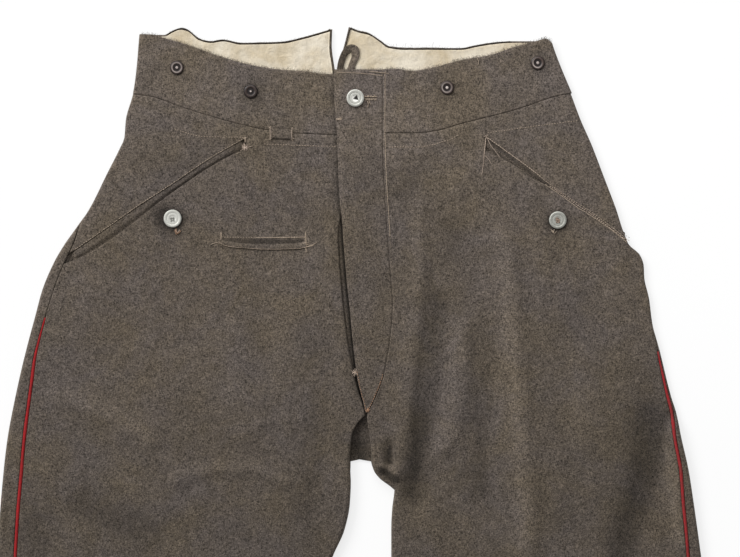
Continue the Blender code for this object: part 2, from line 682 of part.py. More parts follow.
RIGHT_STATIONS = [
    103, 110, 117, 121, 134, 150, 166, 182, 198, 212, 224.8, 237, 250, 266, 276, 292, 310, 330, 350, 369,
    372.5, 382, 396, 412, 424, 440, 464, 500, 544, 601, 668, 734, 829, 924, 1019, 1092,
]
LEFT_STATIONS = [
    101, 109, 117.5, 123, 136, 150, 166, 182, 196, 206.6, 212, 217, 227, 238, 258, 281, 291, 301, 308, 330,
    346, 366, 372.5, 389, 405, 412.5, 420, 428, 434, 439, 445, 464, 500, 544, 601, 668, 734, 829, 924,
    1019, 1092,
]
BACK_UPPER = [7, 20, 34, 46, 62, 88, 114, 142, 174, 190]


def main():
    for thing in list(bpy.data.objects):
        bpy.data.objects.remove(thing)
    right_low = [d for d in RIGHT_STATIONS if d > 200]
    left_low = [d for d in LEFT_STATIONS if d > 200]
    right_back = BACK_UPPER + [d for d in right_low if d < 410] + [410.6] + [d for d in right_low if d > 411]
    left_back = BACK_UPPER + [d for d in left_low if d < 408] + [410.6] + [d for d in left_low if d > 411]

    back("back_right", -1, RIGHT_OUTLINE, RIGHT_BACK_TOP, RIGHT_NOTCH, RIGHT_INSEAM, right_back,
         PIPING_START_RIGHT)
    back("back_left", 1, LEFT_OUTLINE, LEFT_BACK_TOP, LEFT_NOTCH, LEFT_INSEAM, left_back,
         PIPING_START_LEFT)
    front("front_right", -1, RIGHT_OUTLINE, RIGHT_MOUTH, 224.5, RIGHT_FRONT_EDGE, RIGHT_INSEAM,
          RIGHT_WAIST_SEAM, RIGHT_STATIONS, PIPING_START_RIGHT)
    front("front_left", 1, LEFT_OUTLINE, LEFT_MOUTH, 206.6, LEFT_FRONT_EDGE, LEFT_INSEAM,
          LEFT_WAIST_SEAM, LEFT_STATIONS, PIPING_START_LEFT)
    waistband("waistband_right", RIGHT_OUTLINE, RIGHT_BAND_TOP, RIGHT_WAIST_SEAM, -7)
    waistband("waistband_left", LEFT_OUTLINE, LEFT_BAND_TOP, LEFT_WAIST_SEAM, 33)
    hip_piece("hip_right", -1, RIGHT_OUTLINE, RIGHT_HIP_EDGE, RIGHT_WAIST_SEAM, -98.7)
    hip_piece("hip_left", 1, LEFT_OUTLINE, LEFT_HIP_EDGE, LEFT_WAIST_SEAM, 129.0)
    pocket_welt("pocket_welt_right", RIGHT_HIP_EDGE, RIGHT_MOUTH, (-250, -104))
    pocket_welt("pocket_welt_left", LEFT_HIP_EDGE, LEFT_MOUTH, (133, 246))
    lining("lining_right", -1, RIGHT_BACK_TOP, RIGHT_BAND_TOP, RIGHT_NOTCH, -180, 14)
    lining("lining_left", 1, LEFT_BACK_TOP, LEFT_BAND_TOP, LEFT_NOTCH, 168, 14)
    fly_strip()
    underlap_right = curve(UNDERLAP_RIGHT, "down", "x")
    rows = [((UNDERLAP_LEFT, d), (underlap_right(d), d)) for d in UNDERLAP_DOWN]
    flat_strip("fly_underlap", rows, LOW_LAYER_BOTTOM + WELT / 2, WELT, "wool_dark", 3)
    watch_pocket_welt()
    watch_loop()
    hanger_loop()
    piping("piping_right", -1, RIGHT_OUTLINE, RIGHT_STATIONS, PIPING_START_RIGHT)
    piping("piping_left", 1, LEFT_OUTLINE, LEFT_STATIONS, PIPING_START_LEFT)
    for row in BUTTONS:
        button(row, 2.5)


main()
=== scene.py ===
import math

import bmesh
import bpy
import numpy as np
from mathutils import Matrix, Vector


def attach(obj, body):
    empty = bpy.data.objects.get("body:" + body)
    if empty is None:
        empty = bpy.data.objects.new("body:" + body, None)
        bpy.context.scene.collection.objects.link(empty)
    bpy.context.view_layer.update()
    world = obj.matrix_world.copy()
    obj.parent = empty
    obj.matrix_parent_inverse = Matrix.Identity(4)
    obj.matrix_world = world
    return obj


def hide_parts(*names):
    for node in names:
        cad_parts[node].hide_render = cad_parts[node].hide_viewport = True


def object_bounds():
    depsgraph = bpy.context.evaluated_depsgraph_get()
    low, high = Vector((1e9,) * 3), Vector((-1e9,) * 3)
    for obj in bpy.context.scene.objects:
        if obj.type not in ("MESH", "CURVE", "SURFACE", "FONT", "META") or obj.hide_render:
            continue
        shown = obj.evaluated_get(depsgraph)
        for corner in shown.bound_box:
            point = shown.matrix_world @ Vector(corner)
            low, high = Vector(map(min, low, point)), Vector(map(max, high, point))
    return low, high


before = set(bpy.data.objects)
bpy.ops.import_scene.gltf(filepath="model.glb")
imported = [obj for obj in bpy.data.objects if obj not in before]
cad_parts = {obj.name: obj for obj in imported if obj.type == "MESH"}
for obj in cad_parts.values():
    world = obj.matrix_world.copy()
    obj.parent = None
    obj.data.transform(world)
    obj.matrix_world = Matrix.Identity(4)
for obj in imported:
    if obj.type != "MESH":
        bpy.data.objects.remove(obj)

cadBounds = [list(corner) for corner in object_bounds()]

mm = 0.001
place = {
    "centreFront": -0.001,          # metres, in the frame
    "waistTop": cadBounds[1][1],    # metres, where down is 0
}
cloth = {
    "wool": 2.0,
    "welt": 1.6,
    "lining": 1.0,
    "trim": 1.2,
    "seamGap": 0.3,
    "buttGap": 0.05,        # where two pieces meet without a seam line
    "layerGap": 0.3,
    "hipSeamGap": 0.8,
    "centreBackGap": -0.1,  # pressed together, so that no light comes through
    "backMid": 1.0,         # height of the middle of the back's wall
    "frontMid": 5.2,        # and of the front's, where something lies under it
    "lowestMid": 4.1,
    "floorGive": 0.55,
    "foldReach": 3.0,       # half-width of an outer fold
    "quarterTurn": 4.2,     # cloth in a quarter turn of it
    "puff": 2.6,
    "foldGain": 1.5,
    "length": 1092.0,
    "crotch": 411.0,
    "flyTip": 369.0,
}
foldEdge = cloth["foldReach"] + cloth["wool"] / 2
lowLayer = cloth["wool"] + cloth["layerGap"]
farInside = 9.0             # from any edge, where the wall has its full thickness
# How far from a panel's edge its closest columns lie
rimSteps = np.array([0, 0.25, 0.7, 1.5])
edgeSteps = np.array([0.0, 0.25, 0.7, 1.4, 2.1, 2.8, 3.5, 4.3, 5.4])
innerSteps = np.concatenate([edgeSteps, [6.4, 7.4, 8.4, 9.5, 10.8, 12.4]])
frontSteps = np.concatenate([innerSteps, [14.0, 15.6, 17.2, 18.8, 20.4, 22.0, 23.6]])

# columns: down, outer edge, how far inside it the side seam shows
outlineRight = [
    (7, -200, 0), (42, -203, 0), (63, -206, 0), (88, -213, 0), (106, -214.5, 0), (114, -218, 0),
    (142, -232, 0), (174, -248, 0), (190, -259, 2), (207, -271, 8), (224, -281, 10), (250, -292, 11),
    (276, -299, 10), (306, -307, 10), (340, -315, 13), (392, -325, 16.4), (427, -329, 17.4),
    (477, -333, 17.4), (544, -336, 18), (601, -329, 16), (668, -312, 14), (734, -294, 12),
    (829, -277, 10), (924, -266, 9), (1019, -258, 8), (1092, -253, 8),
]
outlineLeft = [
    (16, 192, 0), (38, 200, 0), (64, 210, 0), (88, 219, 0), (113, 230, 0), (142, 241, 0),
    (171, 252, 0), (207, 265, 0), (217, 275.5, 0), (227, 279, 0), (238, 279.5, 0), (258, 284, 0),
    (281, 287, 0), (308, 294, 2.5), (352, 305, 3.5), (366, 309.5, 4.5), (389, 314, 6.5),
    (420, 321, 8), (445, 325, 10), (473, 329, 11.5), (502, 333, 12.5), (544, 338, 13),
    (592, 338, 13), (658, 330, 12), (734, 315, 11), (829, 298, 10), (924, 285, 9), (1019, 276, 8),
    (1092, 272, 8),
]
# columns: down, x
inseamRight = [
    (412, 0.4), (432, 1), (453, 0), (477, -5), (502, -16), (544, -30), (601, -48), (668, -63),
    (734, -74), (829, -84), (924, -89), (1019, -92), (1092, -93),
]
inseamLeft = [
    (412, 20), (420, 22), (428, 28), (434, 36), (439, 42), (445, 41.5), (456, 40), (475, 39),
    (502, 39), (544, 41), (592, 47), (658, 58), (734, 70), (829, 84), (924, 94), (1019, 102),
    (1092, 106),
]
frontEdgeRight = [
    (103, -8.5), (150, -8), (176, -8.2), (195, -11.2), (223, -10), (246, -8.2), (276, -5.2),
    (300, -2), (326, 3), (343, 7), (357, 11.8), (369, 14), (373, 9.5), (386, 2.5), (412, 0.4),
]
frontEdgeLeft = [
    (101, 30.8), (119, 31), (162, 33.2), (198, 35.6), (221, 37.2), (245, 39.1), (262, 40.3), (285, 39),
    (302, 37), (319, 34), (334, 31), (346, 26), (357, 21.5), (369, 16), (383, 17.5), (397, 19),
    (412, 20),
]
notchRight = [(2, -17), (20, -17.5), (35, -15.5), (46, -14)]
notchLeft = [(0, -1), (16, -5), (28, -8.5), (37, -11.5), (46, -13)]
centreBack = [(62, -12), (120, -8), (220, -1), (320, 5), (411, 9)]
mouthRight = [
    (90, -98.3), (116, -99), (121, -110.6), (134.2, -134.5), (152, -161), (165.8, -180),
    (182.6, -201), (197.6, -221), (210.8, -241), (219.8, -257), (224, -270),
]
mouthLeft = [
    (80, 128.4), (116.4, 128.2), (124, 143), (136, 163), (146, 177), (150.7, 187.7), (166, 210),
    (180.4, 232), (205.4, 265),
]
# columns: x, down
waistSeamRight = [
    (-206, 64), (-190, 66), (-176, 70), (-161, 76), (-143, 81.5), (-122, 88), (-102, 93),
    (-84, 97), (-52, 101), (-7, 103),
]
waistSeamLeft = [
    (30.8, 101), (63, 101), (83, 98.5), (104, 92.5), (126, 87), (148, 81.5), (169, 75),
    (184, 69.5), (200, 65), (210, 63.5),
]
bandTopRight = [
    (-200, 7), (-187, 7.5), (-174, 11.5), (-161, 15), (-149, 19), (-124, 28), (-104, 34),
    (-86, 38), (-64, 41), (-42, 42.5), (-23, 45), (-7, 44),
]
bandTopLeft = [
    (30.8, 40.4), (44, 40), (58, 42), (74, 40), (91, 35.5), (109, 31), (133, 27), (155, 19.5),
    (177, 13.5), (186, 11.5), (192, 16),
]
backTopRight = [
    (-200, 7), (-187, 7.5), (-176, 7.5), (-169, 4), (-161, 1), (-154, 2.5), (-143, 11),
    (-132, 13.5), (-120, 12), (-104, 15), (-64, 14), (-49, 11), (-34, 7), (-17, 2),
]
backTopLeft = [
    (-1, 0), (8, 3.5), (18, 6), (29, 13), (36, 18), (51, 20), (106, 20), (119, 17.5),
    (134, 15), (152, 13.5), (177, 13.5), (192, 16),
]
hipEdgeRight = [
    (-266, 215), (-260, 212), (-228, 190), (-201, 171), (-168, 149.6), (-135, 127.2),
    (-100.5, 107),
]
hipEdgeLeft = [
    (129.3, 105.6), (170, 135.0), (187.7, 149.2), (210, 164.8), (232, 179.2), (264, 203.8),
]
# columns: down, free edge, its lift over the sewn edge
flyRows = [
    (40.7, -15, 2.3), (64, -15, 2.3), (101, -12.5, 2.3), (141, -11, 2.3), (162, -10, 2.3),
    (184, -7.6, 2.3), (202, -6.4, 1.8), (221, -4.8, 1.4), (245, -2.7, 1.2), (262, -0.8, 1.2),
    (285, 1.4, 1.2), (302, 3.0, 1.2), (319, 5.0, 1.0), (334, 7.0, 0.8), (346, 9.8, 0.5),
    (357, 12.8, 0.2), (366, 14.6, 0.0),
]

# The lie of the cloth. Rows: rise of a ridge or trough, reach, then (x, down) along it
mainFolds = [
    # wearer's left leg
    (-2.8, 5.0, (37.6, 398), (37.2, 412)),
    (2.3, 11, (148, 200), (152, 230), (161, 340), (168, 442), (171, 500), (184, 610)),
    (1.7, 9.5, (67.5, 176), (68.5, 262), (58, 340), (48, 425)),
    (-2.4, 14, (85, 258), (75, 340), (67, 413), (63, 446)),
    (1.7, 11, (107, 290), (103, 354), (90, 398)), (-1.6, 12, (128, 285), (129, 442)),
    (1.2, 15, (224, 310), (222, 395)), (-2.9, 16, (296, 346), (285, 420), (260, 505)),
    (1.8, 8, (306, 380), (316, 490)), (2.8, 15, (290, 640), (180, 675)),
    (-1.8, 14, (270, 700), (150, 690)), (2.4, 15, (110, 760), (200, 800)),
    (2.0, 16, (150, 900), (160, 1040)),
    # wearer's right leg
    (1.9, 9, (-276, 351), (-223, 371), (-190, 393)), (0.9, 7, (-186, 378), (-157, 386)),
    (1.3, 6, (-164, 430), (-128, 419), (-91, 419), (-62, 431)), (1.0, 13, (-204, 443), (-150, 462)),
    (-1.4, 14, (-252, 456), (-186, 490)), (-1.6, 12, (-38, 440), (-40, 462)),
    (1.5, 18, (-112, 300), (-100, 380)), (-1.0, 10, (-60, 170), (-30, 186)),
    (2.8, 15, (-280, 640), (-150, 670)), (-1.8, 14, (-240, 700), (-130, 690)),
    (2.4, 15, (-110, 750), (-190, 800)), (2.0, 16, (-160, 890), (-170, 1040)),
]
creases = [
    # wearer's left leg
    (-0.9, 7, (84, 116), (50, 161)), (0.8, 8, (137, 108), (101, 154)),
    (-0.8, 8, (97, 190), (99, 226)), (-0.8, 7, (181, 158), (181, 174)),
    (-0.9, 7, (194, 200), (197, 212)), (-0.8, 9, (108, 244), (112, 262)),
    (-2.2, 3.4, (38, 397), (39, 417)), (1.4, 2.6, (31, 416), (40, 421), (44.5, 429)),
    (-2.2, 3.0, (33, 423), (41, 431)), (1.1, 4.5, (98, 391), (78, 407), (64, 443)),
    (-0.6, 9, (228, 240), (236, 300)), (0.7, 10, (254, 250), (262, 320)),
    (0.9, 9, (76, 450), (82, 520)), (-0.8, 10, (96, 470), (104, 540)),
    (-0.8, 12, (206, 460), (214, 540)), (0.7, 10, (240, 380), (232, 450)),
    (-0.9, 8, (120, 620), (176, 640)), (1.0, 9, (230, 720), (300, 700)),
    (-0.8, 8, (96, 800), (150, 830)), (0.8, 10, (130, 860), (240, 880)),
    (-0.7, 9, (220, 930), (226, 1050)), (0.7, 8, (120, 960), (124, 1060)),
    # wearer's right leg
    (0.8, 4.5, (-289, 290), (-258, 292)), (-0.6, 5, (-62, 160), (-28, 184)),
    (-0.9, 8, (-168, 204), (-176, 214)), (-0.6, 9, (-214, 236), (-232, 260)),
    (0.5, 12, (-150, 250), (-110, 262)), (0.6, 11, (-60, 230), (-52, 330)),
    (-0.5, 9, (-84, 256), (-80, 330)), (0.6, 10, (-250, 300), (-200, 312)),
    (-0.9, 9, (-272, 420), (-286, 500)), (0.8, 10, (-252, 480), (-150, 506)),
    (-0.7, 9, (-120, 486), (-60, 500)), (0.6, 9, (-90, 380), (-40, 372)),
    (-0.7, 6, (-34, 392), (-26, 430)), (-0.8, 9, (-210, 620), (-130, 640)),
    (1.0, 9, (-280, 720), (-200, 700)), (-0.8, 8, (-130, 810), (-190, 830)),
    (0.8, 10, (-120, 870), (-230, 880)), (-0.7, 9, (-220, 930), (-222, 1050)),
    (0.7, 8, (-118, 960), (-120, 1060)),
]
# Painted light and shade: paler along ridges, darker in troughs, in the crotch's recess and round the
# buttons. Rows: how much paler or darker, reach, then (x, down) along it
paintedLightAndShade = [
    (-0.10, 8, (84, 113), (48, 158)), (0.06, 8, (135, 106), (99, 152)),
    (-0.05, 12, (57, 150), (62, 220)), (-0.12, 12, (98, 190), (97, 226)),
    (-0.08, 8, (179, 158), (179, 172)), (-0.12, 8, (192, 200), (194, 214)),
    (-0.05, 9, (108, 244), (110, 262)), (0.07, 5, (62, 186), (62, 268)),
    (-0.22, 13, (79, 258), (70, 335), (62, 405), (60, 440)), (-0.12, 8, (64, 370), (60, 440)),
    (0.09, 3, (99, 390), (77, 405), (63, 441)), (0.05, 8, (100, 300), (92, 390)),
    (-0.10, 10, (122, 290), (124, 442)), (0.11, 9, (147, 226), (157, 340), (164, 442), (165, 485)),
    (-0.07, 22, (200, 267), (206, 442)), (0.05, 11, (216, 320), (216, 390)),
    (-0.24, 17, (284, 368), (276, 420), (256, 500)), (-0.07, 22, (262, 330), (276, 400)),
    (0.12, 6, (302, 383), (311, 490)), (-0.62, 3.4, (37.5, 398), (37, 412)),
    (-0.9, 4.2, (30, 420), (43, 429)), (0.3, 1.8, (29, 416), (38, 418), (43.5, 424)),
    (0.2, 1.6, (33, 400), (40, 394)), (-0.05, 6, (8, 300), (30, 312)),
    (-0.58, 9, (8, 396), (14, 420)), (-0.10, 15, (-33, 302), (-38, 487)),
    (-0.08, 7, (-60, 160), (-30, 186)), (-0.13, 16, (-252, 454), (-186, 488)),
    (-0.12, 12, (-300, 470), (-292, 520)),
    (0.07, 4, (-164, 427), (-128, 416), (-91, 416), (-62, 427)),
    (0.08, 10, (-268, 352), (-223, 371), (-190, 391)), (0.07, 3, (-139, 262), (-139, 284)),
    (0.08, 4, (-281, 292), (-256, 289)), (-0.09, 9, (-172, 200), (-182, 214)),
    (-0.10, 15, (-176, 136), (-112, 104)), (0.12, 34, (14, 60), (58, 96)),
    (-0.12, 6, (-28, 46), (-20, 66)),
    # painted shade round the buttons, in the hollows that they lie in
    (-0.32, 8.5, (-164, 39), (-163, 39)), (-0.50, 9.0, (-94, 61.5), (-93, 61.5)),
    (-0.22, 8.5, (92, 58), (93, 58)), (-0.26, 8.5, (178, 34.5), (179, 34.5)),
    (-1.15, 9.8, (-170.4, 179.8), (-169, 181)), (-0.9, 9.8, (-166, 184), (-165, 184)),
    (-1.0, 9.6, (195, 185.5), (196, 185)),
]
# Painted shade: the cloth darker down the garment, away from the light at the waist: fall, from, to
fades = [(0.10, 60, 170), (0.10, 170, 480), (0.03, 330, 480)]
# Small waves and soft patches: size of the change, width of a wave, its place in the noise
waves = [(0.30, 34, 5), (0.16, 13, 9), (0.07, 5.5, 12)]
patches = [(0.055, 46, 15), (0.035, 16, 19)]
# Painted light and shade on the cloth: its tone at the waist, on ridges and in troughs, and its limits
shades = {
    "waist": 0.10,
    "ridge": 0.022,         # for each millimetre of a fold's rise
    "trough": 0.042,        # and of its fall
    "foldReach": 0.85,      # of the fold's own reach
    "soft": 0.3,            # a painted mark fainter than this is deepened
    "softGain": 1.35,
    "least": -0.75,
    "most": 0.4,
}
noiseTable = np.random.RandomState(41).rand(64, 64)


# Reads a column of a table at any place, on a smooth line that never overshoots
def smoothLine(rows, at=0, value=1):
    rows = sorted(rows, key=lambda row: row[at])
    xs = np.array([row[at] for row in rows], float)
    ys = np.array([row[value] for row in rows], float)
    steps = np.diff(ys) / np.diff(xs)
    slopes = np.zeros(len(xs))                  # stay 0 where the line turns
    same = steps[:-1] * steps[1:] > 0
    slopes[1:-1][same] = 2 * (steps[:-1] * steps[1:])[same] / (steps[:-1] + steps[1:])[same]
    slopes[0], slopes[-1] = steps[0], steps[-1]

    def read(where):
        where = np.clip(np.asarray(where, float), xs[0], xs[-1])
        k = np.clip(np.searchsorted(xs, where) - 1, 0, len(xs) - 2)
        span = xs[k + 1] - xs[k]
        s = (where - xs[k]) / span
        low = (1 + 2 * s) * (1 - s) ** 2 * ys[k] + s * (1 - s) ** 2 * span * slopes[k]
        high = s * s * (3 - 2 * s) * ys[k + 1] - s * s * (1 - s) * span * slopes[k + 1]
        return low + high

    return read


def softStep(low, high, value):
    s = np.clip((np.asarray(value, float) - low) / (high - low), 0, 1)
    return s * s * (3 - 2 * s)


# Smooth value noise from -1 to 1 with cells of the given size
def softNoise(x, down, size, shift=0.0):
    u, v = x / size + 31.7 + shift, down / size + 17.3 + shift * 1.7
    i, j = np.floor(u).astype(int), np.floor(v).astype(int)
    a, b = u - i, v - j
    a, b = a * a * (3 - 2 * a), b * b * (3 - 2 * b)
    wide, deep = noiseTable.shape
    low = noiseTable[i % wide, j % deep] * (1 - a) + noiseTable[(i + 1) % wide, j % deep] * a
    j = j + 1
    high = noiseTable[i % wide, j % deep] * (1 - a) + noiseTable[(i + 1) % wide, j % deep] * a
    return 2 * (low * (1 - b) + high * b) - 1


# Distance to a straight stretch
def nearLine(x, down, x0, down0, x1, down1):
    ax, ay = x1 - x0, down1 - down0
    share = np.clip(((x - x0) * ax + (down - down0) * ay) / (ax * ax + ay * ay), 0, 1)
    return np.hypot(x - x0 - share * ax, down - down0 - share * ay)


# Distance to a path of straight stretches
def nearPath(x, down, points):
    stretches = zip(points, points[1:])
    return np.minimum.reduce([nearLine(x, down, *first, *second) for first, second in stretches])


# Height of the middle of the upper layer, with its folds and creases
def heightAt(x, down):
    x, down = np.broadcast_arrays(np.asarray(x, float), np.asarray(down, float))
    total = cloth["frontMid"] + cloth["puff"] * softStep(250, 420, down)
    for rise, reach, *points in mainFolds:
        total = total + cloth["foldGain"] * rise * np.exp(-(nearPath(x, down, points) / reach) ** 2)
    floor = cloth["frontMid"] - (cloth["frontMid"] - cloth["lowestMid"]) * softStep(391, 451, down)
    total = np.maximum(total, floor)
    for rise, reach, *points in creases:
        far = nearPath(x, down, points) * (1 + 0.25 * softNoise(x, down, 17, 3))
        total = total + rise * np.exp(-(far / reach) ** 2)
    total = total - watchPocket["slitDepth"] * inWatchSlit(x, down)
    for rise, size, shift in waves:
        total = total + rise * softNoise(x, down, size, shift)
    return np.maximum(total, floor - cloth["floorGive"])


# 1 in the middle of the watch pocket's mouth, 0 outside it
def inWatchSlit(x, down):
    share = np.clip((x - watchPocket["left"]) / (watchPocket["right"] - watchPocket["left"]), 0, 1)
    half = watchPocket["slitHalf"] * (0.35 + 0.65 * np.sin(share * math.pi) ** 0.6)
    inside = 1 - softStep(half - 0.6, half + 0.6, np.abs(down - watchSlit(x)))
    return inside * softStep(0, 0.03, share) * softStep(0, 0.03, 1 - share)


# How much paler or darker than its average the cloth is: painted highlight on ridges and painted shade in
# troughs, painted shade beside the fly's free edge and in the watch pocket's mouth, and random patches
def toneAt(x, down, onFly=False):
    total = shades["waist"]
    # Painted shade, darker down the garment
    for fall, first, last in fades:
        total = total - fall * softStep(first, last, down)
    # Painted highlight along each fold's ridge and painted shade in its trough
    for rise, reach, *points in mainFolds:
        gain = shades["ridge"] if rise > 0 else shades["trough"]
        far = nearPath(x, down, points) / reach / shades["foldReach"]
        total = total + gain * rise * np.exp(-far ** 2)
    for tone, reach, *points in paintedLightAndShade:
        far = nearPath(x, down, points) * (1 + 0.3 * softNoise(x, down, 21, 7))
        gain = shades["softGain"] if abs(tone) < shades["soft"] else 1
        total = total + tone * gain * np.exp(-(far / reach) ** 2)
    far = flyLeft(down) - x                     # how far beyond the fly's free edge
    ends = softStep(44, 50, down) * (1 - softStep(352, 364, down))
    if onFly:                                   # paler along that edge
        paleEdge = softStep(50, 62, down) * (1 - softStep(150, 215, down))
        total = total + flyEdge["paleEdge"] * paleEdge * np.exp(-((far + 3) / 2.6) ** 2)
    else:                                       # and painted shadow beside it
        near = flyEdge["nearTop"] * softStep(58, 78, down) + flyEdge["nearLow"] * softStep(95, 150, down)
        broad = np.exp(-(np.maximum(far, 0) / flyEdge["nearReach"]) ** 2)
        line = np.exp(-((far - flyEdge["lineAt"]) / flyEdge["lineReach"]) ** 2)
        total = total + (near * broad + flyEdge["line"] * line) * ends * (x < 30)
    # Painted shade in the watch pocket's mouth
    total = total + watchPocket["dark"] * inWatchSlit(x, down) * (0.55 + 0.45 * softStep(-112, -92, x))
    for change, size, shift in patches:
        total = total + change * softNoise(x, down, size, shift)
    return np.clip(total, shades["least"], shades["most"])


# Where a front's outer end shows, and how far it curls down the fold
def sideEnd(edge, seamIn, side):
    curl = np.clip(1 - seamIn / foldEdge, 0, 1)
    turned = edge - side * foldEdge * (1 - np.sin(curl * math.pi / 2))
    return np.where(seamIn >= foldEdge, edge - side * seamIn, turned), curl


def foldCentre(curl):
    return foldEdge * np.sin(curl * math.pi / 2)


# Inset and share of the drop of cloth that lies so far along from a curled edge
def curled(along, curl):
    angle = (curl - along / cloth["quarterTurn"]) * math.pi / 2
    bent = foldCentre(curl) - cloth["foldReach"] * np.sin(np.maximum(angle, 0))
    flat = foldCentre(curl) + along - curl * cloth["quarterTurn"]
    return np.where(angle > 0, bent, flat), np.where(angle > 0, 1 - np.cos(np.maximum(angle, 0)), 0)


# The x at which each row crosses an edge that is given by its down
def meetEdge(edge, downOf, x):
    for _ in range(60):
        x = 0.5 * x + 0.5 * edge(downOf(x))
    return x


def toWorld(x, down, z):
    return np.stack([place["centreFront"] + x * mm, place["waistTop"] - down * mm, z * mm], axis=-1)


# An sRGB hex colour as linear values
def hexColour(text):
    parts = [int(text[i:i + 2], 16) / 255 for i in (1, 3, 5)]
    linear = [p / 12.92 if p <= 0.04045 else ((p + 0.055) / 1.055) ** 2.4 for p in parts]
    return (*linear, 1.0)


def linkObject(made):
    bpy.context.scene.collection.objects.link(made)
    return made


def meshPiece(name, points, faces, material, smooth=True):
    mesh = bpy.data.meshes.new(name)
    mesh.from_pydata([tuple(p) for p in points], [], faces)
    if smooth:
        mesh.shade_smooth()
    mesh.materials.append(material)
    return linkObject(bpy.data.objects.new(name, mesh))


# Keeps one value for each corner of the mesh, for its material to read
def setLayer(piece, name, values):
    layer = piece.data.attributes.new(name, "FLOAT", "POINT")
    layer.data.foreach_set("value", np.asarray(values, float).astype(np.float32))


# Turns all faces outward and shades them smooth
def faceOutward(piece):
    shape = bmesh.new()
    shape.from_mesh(piece.data)
    bmesh.ops.recalc_face_normals(shape, faces=shape.faces)
    shape.to_mesh(piece.data)
    shape.free()
    piece.data.shade_smooth()
    return piece


# A closed wall round a grid of middle points, thinner towards its borders so that they look rounded
def gridWall(name, x, down, z, thickness, colDist, rowDist, material, rounding, shade):
    grid = np.stack([x, down, z], axis=-1)
    across = np.gradient(grid, axis=1, edge_order=2)
    along = np.gradient(grid, axis=0, edge_order=2)
    normal = np.cross(across, along)
    normal /= np.linalg.norm(normal, axis=2)[:, :, None]
    if normal[..., 2].mean() < 0:
        normal = -normal

    def profile(far):
        return np.sqrt(np.clip(1 - (1 - np.clip(far / rounding, 0, 1)) ** 2, 0.1, 1))

    half = thickness / 2 * np.minimum(profile(colDist), profile(rowDist))
    rows, cols = x.shape
    upper = grid + normal * half[..., None]
    lower = grid - normal * half[..., None]
    points = np.concatenate([toWorld(*upper.reshape(-1, 3).T), toWorld(*lower.reshape(-1, 3).T)])
    index = np.arange(rows * cols).reshape(rows, cols)
    a, b, c, d = index[:-1, :-1], index[:-1, 1:], index[1:, 1:], index[1:, :-1]
    quads = np.stack([a, b, c, d], axis=-1).reshape(-1, 4)
    low = rows * cols
    rim = np.concatenate([index[0], index[1:, -1], index[-1, -2::-1], index[-2:0:-1, 0]])
    after = np.roll(rim, -1)
    rims = np.stack([rim, low + rim, low + after, after], axis=-1)
    p = points[quads[0]]
    if np.cross(p[1] - p[0], p[2] - p[1])[2] * (1 if normal[0, 0, 2] >= 0 else -1) < 0:
        quads = quads[:, ::-1]
        rims = rims[:, ::-1]
    faces = np.concatenate([quads, low + quads[:, ::-1], rims[:, ::-1]]).tolist()
    piece = meshPiece(name, points, faces, material)
    setLayer(piece, "shade", np.concatenate([shade.ravel(), shade.ravel()]))
    return piece


# Grid of a front piece from its outer to its inner end. All values are one for each row
def panel(outer, inner, outerCurl, innerCurl, downOf, columns, outerGap, innerGap, squareOuter=None,
          squareInner=False, inSteps=innerSteps):
    side = 1 if outer.mean() > inner.mean() else -1
    outInset, outDrop = curled(outerGap[:, None] + edgeSteps[None, :], outerCurl[:, None])
    inInset, inDrop = curled(innerGap[:, None] + inSteps[None, :], innerCurl[:, None])
    first, last = outInset[:, -1:], np.abs(outer - inner)[:, None] - inInset[:, -1:]
    share = np.linspace(0, 1, columns + 1)[None, 1:-1]
    middle = first + (last - first) * share
    x = np.concatenate([
        outer[:, None] - side * outInset,
        outer[:, None] - side * middle,
        (inner[:, None] + side * inInset)[:, ::-1],
    ], axis=1)
    blank = np.zeros_like(middle)
    drop = np.concatenate([outDrop, blank, inDrop[:, ::-1]], axis=1)
    outFold = np.repeat(outer[:, None] - side * foldCentre(outerCurl)[:, None], len(edgeSteps), axis=1)
    inFold = np.repeat(inner[:, None] + side * foldCentre(innerCurl)[:, None], len(inSteps), axis=1)
    foldX = np.concatenate([outFold, x[:, len(edgeSteps):-len(inSteps)], inFold], axis=1)
    down = downOf(x)
    top = heightAt(np.where(drop > 0, foldX, x), down)
    z = top - (top - cloth["backMid"]) / 2 * drop
    far = np.concatenate([edgeSteps, np.full(columns - 1, farInside), inSteps[::-1]])
    far = np.repeat(far[None, :], len(outer), axis=0)
    if squareOuter is not None:                 # rows whose outer end butts against its neighbour
        far[squareOuter, :len(edgeSteps)] = farInside
    if squareInner:
        far[:, -len(inSteps):] = farInside
    return x, down, z, far


def rowEnds(count, near=(0.0, 0.25, 0.7)):
    far = np.full(count, farInside)
    far[:len(near)] = near
    far[-len(near):] = near[::-1]
    return far[:, None]


# Rows down a panel: close at its ends, with exact ones where its outline turns
def stations(top, bottom, pitch, extra=(), lowPitch=6.0, lowFrom=515.0):
    middle = np.arange(top + 3, min(bottom - 3, lowFrom), pitch)
    low = np.arange(lowFrom, bottom - 3, lowPitch) if bottom > lowFrom else np.array([])
    inner = np.unique(np.round(np.concatenate([middle, low, np.array(extra, float)]), 2))
    inner = inner[(inner > top + 1.3) & (inner < bottom - 1.3)]
    return np.concatenate([[top, top + 0.25, top + 0.7], inner, [bottom - 0.7, bottom - 0.25, bottom]])


# Thin where it comes out of the side seam, full a little lower
def pipingRadius(down, start):
    full = softStep(start, start + piping["fills"], down)
    return piping["radius"] * (piping["thin"] + (1 - piping["thin"]) * full)


def sideGap(down, pipingStart):
    opened = softStep(pipingStart - 3, pipingStart + 3, down)
    full = pipingRadius(down, pipingStart) + piping["clear"]
    return cloth["seamGap"] / 2 + (full - cloth["seamGap"] / 2) * opened


